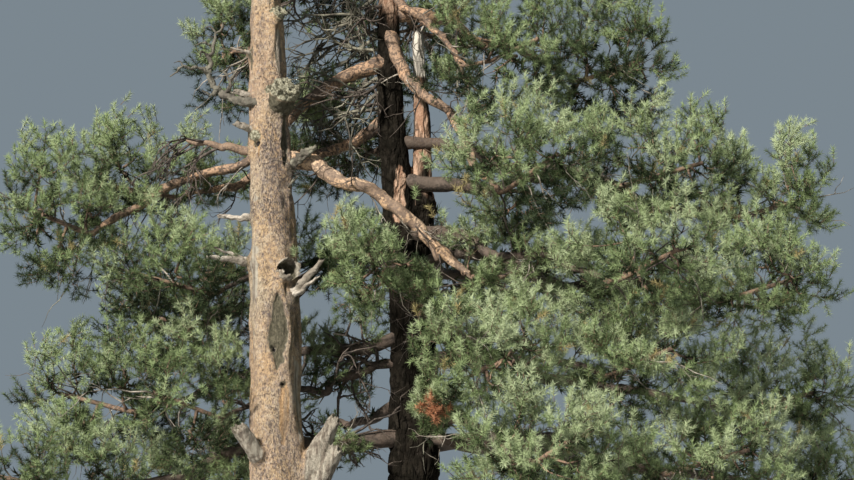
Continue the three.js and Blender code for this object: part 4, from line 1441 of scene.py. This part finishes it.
def collar_relief(places, marks):
    """Bark that swells round the feet of the thin stubs and of the bare bough."""
    stem = STEM_LINES["near"]
    relief = np.zeros(len(places))
    for height, bearing, _, _, radius, _ in (*THIN_STUBS, *LICHEN_STUBS, BARE_BOUGH):
        share = stem.at_height(height)
        foot = stem.place(share) + towards(bearing) * float(stem.radius(share))
        near_foot = bell(np.linalg.norm(places - foot, axis=1), 0, 1.5 * radius)
        relief += 0.03 * near_foot
        raise_mark(marks, DARK, 0.4 * near_foot)
    return relief


def dress_thick_stub(places, normals, marks, line, height, off_stem):
    """Lumps and a ragged tip, with a crust of lichen above a neck darkened as painted shade, or
    else of bare grey wood.
    """
    along, off = away_from_line(places, line)
    on_stub = (1 - smooth(off - line.radius(along), 0.02, 0.06)) * off_stem
    crusty = height > CRUSTY_FROM
    lumps = 0.005 * grooved(places, line, 1.0, 3, height)
    lumps += (0.035 if crusty else 0.007) * roughness_of(places, 13.0, 4, 2.0)
    places = places + normals * (lumps * on_stub)[:, None]
    on_tip = ragged_tip(places, normals, line, 0.03 if crusty else 0.06)
    if crusty:
        crust = np.maximum(on_stub * smooth(along, 0.7, 0.85), on_tip)
        raise_mark(marks, CRUST, crust)
        # Painted shade: the neck below the crust is painted dark olive.
        raise_mark(marks, DARK, 0.5 * on_stub * smooth(along, 0.35, 0.5) * (1 - crust))
    else:
        raise_mark(marks, GREY, np.maximum(on_stub, on_tip))
        broken = on_tip * smooth(roughness_of(places, 20.0, 3), 0.0, 0.3)
        raise_mark(marks, DARK, 0.6 * broken)
    return places


def open_hollow(places, marks, line):
    """Pushes the bore into the hollow stub, inside a ragged grey rim, and paints the bore
    near-black as painted shade.
    """
    mouth, heading = line.place(1.0), line.heading(1.0)
    away = places - mouth
    along = away @ heading
    flat = away - np.outer(along, heading)
    off = np.linalg.norm(flat, axis=1) * (1 + 0.35 * roughness_of(flat, 9.0, 3, 4.0))
    on_rim = (1 - smooth(off, 0.12, 0.17)) * smooth(along, -0.12, -0.05)
    places = places + np.outer(on_rim * 0.045 * roughness_of(flat, 24.0, 3), heading)
    in_bore = (1 - smooth(off, HOLLOW["bore"] * 0.9, HOLLOW["bore"] * 1.2)) * (along > -0.09)
    raise_mark(marks, GREY, on_rim)
    # Painted shade: the bore is painted near-black.
    raise_mark(marks, DARK, in_bore)
    return places - np.outer(in_bore * HOLLOW["deep"], heading)


class PINE_OT_near_stem(bpy.types.Operator):
    """Adds the pale near stem with its stubs, scars and hollow"""

    bl_idname = "pine.near_stem"
    bl_label = "Near stem"

    def execute(self, context):
        sizes = context.scene.pine_sizes
        stem_line = STEM_LINES["near"]
        stub_lines = [stub_line(*stub) for stub in THICK_STUBS]
        hollow = stub_line(
            HOLLOW["height"], HOLLOW["bearing"], HOLLOW["length"], HOLLOW["rise"],
            HOLLOW["radius"] * 1.2, HOLLOW["radius"],
        )
        stem = near_stem_solid([*stub_lines, hollow], sizes.grain)
        places, normals = read_places(stem)
        marks = np.zeros((len(places), 4))
        share, far = away_from_line(places, stem_line, STEM_SAMPLES)
        radius = stem_line.radius(share)
        on_stem = 1 - smooth(far - radius, 0.02, 0.08)
        away = places - stem_line.place(share)
        front = smooth(-away[:, 1] / radius, 0.0, 0.45) * on_stem
        relief = near_bark_relief(places, away, marks, sizes.relief) * (0.35 + 0.65 * on_stem)
        relief += front_marks_relief(places, front, marks)
        relief += collar_relief(places, marks)
        places = places + normals * relief[:, None]
        for line, stub in zip(stub_lines, THICK_STUBS):
            places = dress_thick_stub(places, normals, marks, line, stub[0], 1 - on_stem)
        places = open_hollow(places, marks, hollow)
        write_places(stem, places)
        write_marks(stem, marks)
        finish_piece(stem, bpy.data.materials["near_bark"], ["near_stem"])
        return {"FINISHED"}


class PINE_OT_far_stem(bpy.types.Operator):
    """Adds the far stem, dark in front with painted shade, with its fork and broken leader"""

    bl_idname = "pine.far_stem"
    bl_label = "Far stem"

    def execute(self, context):
        sizes = context.scene.pine_sizes
        limbs = [
            extrude_limb("far_stem_bark", STEM_LINES["far"], 16, 26, 1.02),
            extrude_limb("leader", LEADER_LINE, 12, 12, 1.02),
        ]
        stem = join("far_stem_bark", limbs)
        apply_modifier(stem, "REMESH", mode="VOXEL", voxel_size=sizes.grain * 1.15)
        apply_modifier(stem, "SMOOTH", factor=0.5, iterations=4)
        places, normals = read_places(stem)
        low = 1 - smooth(places[:, 2], *FAR_PLATES_END)
        plates = smooth(plates_of(places, (11, 11, 4.2)), 0.0, 0.22)
        relief = (0.4 + 1.9 * low) * sizes.relief * (plates - 0.75)
        relief += 1.2 * sizes.relief * roughness_of(places, (4, 4, 2.4), 3)
        relief += 0.5 * sizes.relief * roughness_of(places, (18, 18, 12), 3, 5.0)
        places = places + normals * relief[:, None]
        ragged_tip(places, normals, LEADER_LINE, 0.09)
        marks = np.zeros((len(places), 4))
        stem_line = STEM_LINES["far"]
        share, _ = away_from_line(places, stem_line, STEM_SAMPLES)
        behind = (places[:, 1] - stem_line.place(share)[:, 1]) / stem_line.radius(share)
        # The back, where the bark keeps its own brown in place of the front's painted shade.
        marks[:, BACK] = smooth(behind, -0.1, 0.5)
        marks[:, DARK] = (1 - plates) * 0.5
        share, off = away_from_line(places, LEADER_LINE)
        on_leader = 1 - smooth(off - LEADER_LINE.radius(share), 0.02, 0.05)
        marks[:, GREY] = on_leader * smooth(places[:, 2], *LEADER_BARE)
        patchy = smooth(roughness_of(places, (5, 5, 1.2), 3), -0.1, 0.35)
        marks[:, FRESH] = on_leader * smooth(places[:, 2], *LEADER_RED) * (0.25 + 0.6 * patchy)
        ledge = on_leader * bell(places[:, 2], LEADER_LEDGE, 0.12)
        jagged = roughness_of(places, 14.0, 3, 9.0)
        places = places + normals * (0.035 * ledge * (1 + jagged))[:, None]
        raise_mark(marks, FRESH, smooth(places[:, 2], *FAR_RED) * patchy)
        wide = (places[:, 0] - SLIT["x"]) / SLIT["wide"]
        tall = (places[:, 2] - SLIT["height"]) / SLIT["tall"]
        slit = np.hypot(wide, tall) * (1 + 0.4 * roughness_of(places, 9.0, 3))
        in_front = places[:, 1] < 0.42
        raise_mark(marks, FRESH, (1 - smooth(slit, 0.7, 1.0)) * in_front)
        write_places(stem, places)
        write_marks(stem, marks)
        finish_piece(stem, bpy.data.materials["far_bark"], ["far_stem"])
        return {"FINISHED"}


def crooked(line, index, sway, count=15):
    """The same limb with the finer crooks, knots and swellings of a real one."""
    steps = np.linspace(0, 1, count)
    places, radii = line.place(steps), line.radius(steps)
    rng = np.random.default_rng(CROOK_SEED + index)
    held = np.sin(np.pi * steps) ** 0.6
    places = places + rng.normal(0, sway, (count, 3)) * held[:, None]
    radii = radii * (1 + rng.normal(0, 0.1, count) * held)
    radii[0] *= 1.3
    radii[1] *= 1.1
    return Line([(*place, radius) for place, radius in zip(places, radii)])


def bough_line(mass):
    """A mass's bough as the scene shows it."""
    return crooked(mass.bough(), mass.index, BOUGH_SWAY)


def bare_bough_line():
    return crooked(stub_line(*BARE_BOUGH), BARE_CROOKS, 0.02)


def dress_bough(bough, line, mass):
    """Grooves, lumps and darker cracks. The sunlit bough's grooves run round it."""
    places, normals = read_places(bough)
    spiral = mass.name == BARE_FRONT
    ridges = grooved(places, line, 1.0, 1 if spiral else 2, mass.index, 60 if spiral else 3)
    cracks = smooth(roughness_of(places, 7.0, 4, mass.index + 3), 0.12, 0.4)
    relief = 0.01 * roughness_of(places, 8.0, 4, mass.index) - 0.008 * cracks
    relief += 0.004 * roughness_of(places, 30.0, 3) + (0.005 if spiral else 0.003) * ridges
    write_places(bough, places + normals * relief[:, None])
    marks = np.zeros((len(places), 3))
    marks[:, DARK] = np.maximum(cracks, smooth(ridges, -0.85, -1.4))
    write_marks(bough, marks)


class PINE_OT_boughs(bpy.types.Operator):
    """Adds the boughs that carry the masses"""

    bl_idname = "pine.boughs"
    bl_label = "Boughs"

    def execute(self, context):
        near, upper, lower = [], [], []
        for mass in ALL_MASSES:
            if mass.kind == "top":
                continue
            line = bough_line(mass)
            if mass.stem == "near":
                line.radii = line.radii * 1.15
            if mass.name == BARE_FRONT:
                lift = 0.1 * bell(np.linspace(0, 1, len(line.radii)), 0.23, 0.13)
                line.points[1:-1] += np.outer(lift, UP)
            # Lit boughs take the salmon and orange barks; the rest take the dark brown, which is
            # partly painted shade.
            lit = mass.stem == "near" or mass.high
            bough = extrude_limb("bough_" + mass.name + "_bark", line, 8, 26)
            subdivide(bough, 2 if lit else 1)
            dress_bough(bough, line, mass)
            nodes = ["bough_" + mass.name] if mass.kind == "bough" else []
            (near if mass.stem == "near" else upper if lit else lower).append((bough, nodes))
            if mass.name == BARE_FRONT:
                start = line.place(0.74)
                spur = Line(
                    [
                        (*start, 0.05),
                        (*(start + (0.1, 0, -0.12)), 0.04),
                        (*(start + (0.16, -0.04, -0.3)), 0.03),
                    ]
                )
                near.append((extrude_limb("spur", spur, 8, 6), []))
        bare = extrude_limb("bare_bough", bare_bough_line(), 8, 16)
        subdivide(bare, 2)
        near.append((bare, []))
        for name, limbs, material in (
            ("near_boughs", near, "salmon_bough"),
            ("upper_boughs", upper, "orange_bough"),
            ("lower_boughs", lower, "brown_bough"),
        ):
            nodes = [node for _, several in limbs for node in several]
            piece = join(name, [bough for bough, _ in limbs])
            finish_piece(piece, bpy.data.materials[material], nodes)
        return {"FINISHED"}


class PINE_OT_needles(bpy.types.Operator):
    """Adds the twigs and the needles of every mass"""

    bl_idname = "pine.needles"
    bl_label = "Twigs and needles"

    def execute(self, context):
        sizes, colours = context.scene.pine_sizes, context.scene.pine_colours
        growth = Growth(sizes)
        for mass in ALL_MASSES:
            growth.grow(mass)
        materials = [
            plain_finish("needles_" + name, tuple(getattr(colours, "needles_" + name)), 0.6)
            for name in NEEDLE_COLOURS
        ]
        shoots = needle_pieces(growth, sizes, materials)
        paths, radii = zip(*((twig.path, twig.radii) for twig in growth.twigs))
        parts = [tube_arrays(paths, radii, 4)]
        steps = np.linspace(0, 1, 9)
        stems = [mass.own_stem() for mass in ALL_MASSES]
        paths, radii = zip(*((stem.place(steps), stem.radius(steps)) for stem in stems))
        parts.append(tube_arrays(paths, radii, 7))
        parts += [spike_arrays(starts, ends, SHOOT_RADIUS) for starts, ends in shoots]
        offsets = np.cumsum([0] + [len(points) for points, _ in parts])
        vertices = np.concatenate([points for points, _ in parts])
        triangles = np.concatenate([faces + first for (_, faces), first in zip(parts, offsets)])
        twigs = mesh_piece("twigs", vertices, triangles)
        finish_piece(twigs, bpy.data.materials["twigs"], [])
        return {"FINISHED"}


def dead_wood_limb(name, line, index, rings, lumps, broken):
    """A dead limb with grooves and lumps, and splinters where it is broken off."""
    sway = (0.016 if broken else 0.02) * min(line.reach(), 0.8)
    rough = crooked(line, DEAD_CROOKS + index, sway, 15 if broken else 20)
    limb = extrude_limb(name, rough, 8, rings)
    subdivide(limb, 1)
    places, normals = read_places(limb)
    radius = rough.radius(away_from_line(places, rough)[0])
    relief = radius * grooved(places, rough, 0.12, 4, index)
    relief += lumps * radius * roughness_of(places, 24.0, 3)
    places = places + normals * relief[:, None]
    if broken:
        ragged_tip(places, normals, rough, 0.09)
    write_places(limb, places)
    return limb


class PINE_OT_dead_limbs(bpy.types.Operator):
    """Adds the near stem's thin stubs and its twisted dead limb"""

    bl_idname = "pine.dead_limbs"
    bl_label = "Dead limbs"

    def execute(self, context):
        stubs = [stub_line(*stub) for stub in THIN_STUBS]
        lichened = [stub_line(*stub) for stub in LICHEN_STUBS]
        twisted = [dead_line(points) for points in DEAD_LIMBS]
        for name, lines, material, lumps, broken in (
            ("dead_stubs", stubs, "dead_wood", 0.25, True),
            ("lichen_stubs", lichened, "weathered_wood", 0.7, True),
            ("dead_limb", twisted, "dark_wood", 0.7, False),
        ):
            limbs = []
            for i, line in enumerate(lines):
                rings = 20 if i or broken else 44
                limbs.append(dead_wood_limb(f"{name}_{i}", line, i, rings, lumps, broken))
            finish_piece(join(name, limbs), bpy.data.materials[material], [])
        return {"FINISHED"}


class BareTwigs:
    """Bare twigs that branch at random, as paths and radii for each kind of wood."""

    def __init__(self, kinds):
        self.rng = np.random.default_rng(BARE_TWIG_SEED)
        self.kinds = kinds
        self.sets = {kind: ([], []) for kind in kinds}

    def branch(self, kind, start, heading, length, radius, depth, droop=0.03):
        """A twig of six steps, and smaller ones on it, down to depth 0."""
        rng, (paths, radii) = self.rng, self.sets[kind]
        path = [start]
        for _ in range(6):
            heading = unit(heading + rng.normal(0, 0.24, 3) - UP * droop)
            path.append(path[-1] + heading * length / 6)
        paths.append(np.array(path))
        radii.append(radius * (1 - 0.78 * np.linspace(0, 1, 7)))
        for _ in range((0, 2, 3, 4)[depth]):
            k = rng.integers(1, 6)
            turned = unit(unit(path[k + 1] - path[k - 1]) + rng.normal(0, 0.6, 3))
            shorter = length * rng.uniform(0.35, 0.65)
            self.branch(kind, path[k], turned, shorter, radius * 0.62, depth - 1, droop)

    def on_bough(self, mass):
        """Short twigs all along a bough, and longer ones at the foot of the low left ones."""
        rng, line = self.rng, bough_line(mass)
        count = max(3, int(line.reach() * TWIGS_PER_METRE))
        for share in rng.uniform(0.15, 0.95, count):
            heading = unit(rng.normal(0, 1, 3) * (1, 1, 0.6) + line.heading(share) * 0.7)
            heading = unit(heading - UP * rng.uniform(0, 0.5))
            kind = "dead_wood" if rng.random() < 0.25 else "dark_twigs"
            self.branch(kind, line.place(share), heading, rng.uniform(0.3, 0.75), 0.011, 2)
        if mass.leftward and mass.root[2] < LOW:
            for share in rng.uniform(0.08, 0.5, 5):
                leans = rng.normal(-0.3, 0.6), rng.normal(0, 0.3), rng.normal(-0.5, 0.6)
                length = rng.uniform(0.5, 0.9)
                self.branch("dark_twigs", line.place(share), unit(leans), length, 0.026, 2)

    def in_mass(self, mass):
        """Twigs from the stem inside a mass, which stand out between the needles."""
        rng, stem = self.rng, mass.own_stem()
        for share in rng.uniform(0.2, 0.95, 7):
            heading = unit(rng.normal(0, 1, 3) + stem.heading(share) - UP * 0.3)
            kind = self.kinds[rng.integers(0, 3)]
            length = rng.uniform(0.6, 0.95)
            self.branch(kind, stem.place(share), heading, length, 0.012, 1, 0.05)

    def on_far_stem(self):
        """The thicket of dead twigs between the stems, high up."""
        rng, stem = self.rng, STEM_LINES["far"]
        for height in np.linspace(*THICKET):
            start = stem.place(stem.at_height(height))
            heading = unit(towards(rng.uniform(150, 222)) - UP * rng.uniform(0.1, 0.5))
            kind = "weathered_wood" if rng.random() < 0.6 else "dark_twigs"
            self.branch(kind, start, heading, rng.uniform(0.85, 1.3), 0.027, 3, 0.05)

    def on_bare_bough(self):
        """Drooping twigs on the bough that has lost its needles."""
        rng, bough = self.rng, bare_bough_line()
        for share in np.linspace(0.55, 1, 7):
            heading = unit((-rng.uniform(0.6, 1), rng.normal(0.1, 0.2), -rng.uniform(0.1, 0.7)))
            length = rng.uniform(0.5, 0.85)
            self.branch("dark_twigs", bough.place(share), heading, length, 0.017, 2, 0.14)


class PINE_OT_bare_twigs(bpy.types.Operator):
    """Adds the bare twigs that hang from the boughs and stand out of the stems"""

    bl_idname = "pine.bare_twigs"
    bl_label = "Bare twigs"

    def execute(self, context):
        twigs = BareTwigs(("dead_wood", "weathered_wood", "dark_twigs"))
        for mass in ALL_MASSES:
            if mass.kind != "top":
                twigs.on_bough(mass)
                twigs.in_mass(mass)
        twigs.on_far_stem()
        twigs.on_bare_bough()
        for kind, (paths, radii) in twigs.sets.items():
            piece = mesh_piece("bare_" + kind, *tube_arrays(paths, radii, 3))
            finish_piece(piece, bpy.data.materials[kind], [])
        return {"FINISHED"}


class PINE_OT_stage(bpy.types.Operator):
    """Adds the floor, the light and the camera"""

    bl_idname = "pine.stage"
    bl_label = "Stage"

    def execute(self, context):
        select_only()
        bpy.ops.mesh.primitive_plane_add(size=FLOOR_SIZE, location=(0, 0, -0.002))
        floor = context.object
        floor.name = "floor"
        floor.data.materials.append(plain_finish("floor", (0.42, 0.42, 0.41), 0.9))
        world = bpy.data.worlds.new("studio")
        world.use_nodes = True
        backdrop = world.node_tree.nodes["Background"]
        backdrop.inputs["Color"].default_value = (0.45, 0.55, 0.63, 1)
        backdrop.inputs["Strength"].default_value = 0.44
        context.scene.world = world
        sun = bpy.data.lights.new("key", "SUN")
        sun.energy = 6.5
        sun.angle = math.radians(5)
        sun.color = (1.0, 0.95, 0.87)
        lamp = bpy.data.objects.new("key", sun)
        lamp.rotation_euler = Vector(TOWARDS_SUN).to_track_quat("Z", "Y").to_euler()
        context.collection.objects.link(lamp)
        camera = bpy.data.cameras.new("camera")
        tilt = math.asin(CAMERA_RISE / CAMERA_DISTANCE)
        camera.sensor_width = SENSOR_WIDTH
        camera.lens = FOCAL_PIXELS * SENSOR_WIDTH / PHOTO_WIDTH
        camera.clip_end = VIEW_END
        eye = bpy.data.objects.new("camera", camera)
        before = CAMERA_AIM_Y - CAMERA_DISTANCE * math.cos(tilt)
        eye.location = (CAMERA_X, before, CAMERA_HEIGHT)
        eye.rotation_euler = (math.pi / 2 + tilt, 0, 0)
        context.collection.objects.link(eye)
        context.scene.camera = eye
        context.scene.view_settings.view_transform = "Standard"
        return {"FINISHED"}


class PINE_OT_finishes(bpy.types.Operator):
    """Makes the materials of the bark, the dead wood and the twigs"""

    bl_idname = "pine.finishes"
    bl_label = "Finishes"

    def execute(self, context):
        colours = context.scene.pine_colours
        near_bark_finish(colours)
        far_bark_finish(colours)
        for name, main, second, flecks in BOUGH_BARKS:
            bough_bark_finish(name, main, second, flecks)
        dead_wood_finish("dead_wood", colours.dead_wood, (0.22, 0.19, 0.15))
        dead_wood_finish("weathered_wood", (0.27, 0.26, 0.195), (0.06, 0.053, 0.04))
        dead_wood_finish("dark_wood", (0.17, 0.16, 0.125), (0.035, 0.03, 0.024))
        return {"FINISHED"}


class PINE_PT_panel(bpy.types.Panel):
    """Lists the pine's operators"""

    bl_label = "Pine Tree"
    bl_idname = "PINE_PT_panel"
    bl_space_type = "VIEW_3D"
    bl_region_type = "UI"
    bl_category = "Pine Tree"

    def draw(self, context):
        for operator in OPERATORS:
            self.layout.operator(operator.bl_idname)


OPERATORS = (
    PINE_OT_finishes,
    PINE_OT_butt,
    PINE_OT_near_stem,
    PINE_OT_far_stem,
    PINE_OT_boughs,
    PINE_OT_dead_limbs,
    PINE_OT_bare_twigs,
    PINE_OT_needles,
    PINE_OT_stage,
)


def register():
    for each in (PineSizes, PineColours, *OPERATORS, PINE_PT_panel):
        bpy.utils.register_class(each)
    bpy.types.Scene.pine_sizes = bpy.props.PointerProperty(type=PineSizes)
    bpy.types.Scene.pine_colours = bpy.props.PointerProperty(type=PineColours)


def unregister():
    del bpy.types.Scene.pine_sizes
    del bpy.types.Scene.pine_colours
    for each in (PINE_PT_panel, *reversed(OPERATORS), PineColours, PineSizes):
        bpy.utils.unregister_class(each)


def main():
    register()
    bpy.ops.pine.finishes()
    bpy.ops.pine.butt()
    bpy.ops.pine.near_stem()
    bpy.ops.pine.far_stem()
    bpy.ops.pine.boughs()
    bpy.ops.pine.dead_limbs()
    bpy.ops.pine.bare_twigs()
    bpy.ops.pine.needles()
    bpy.ops.pine.stage()
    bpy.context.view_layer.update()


if __name__ == "__main__":
    main()
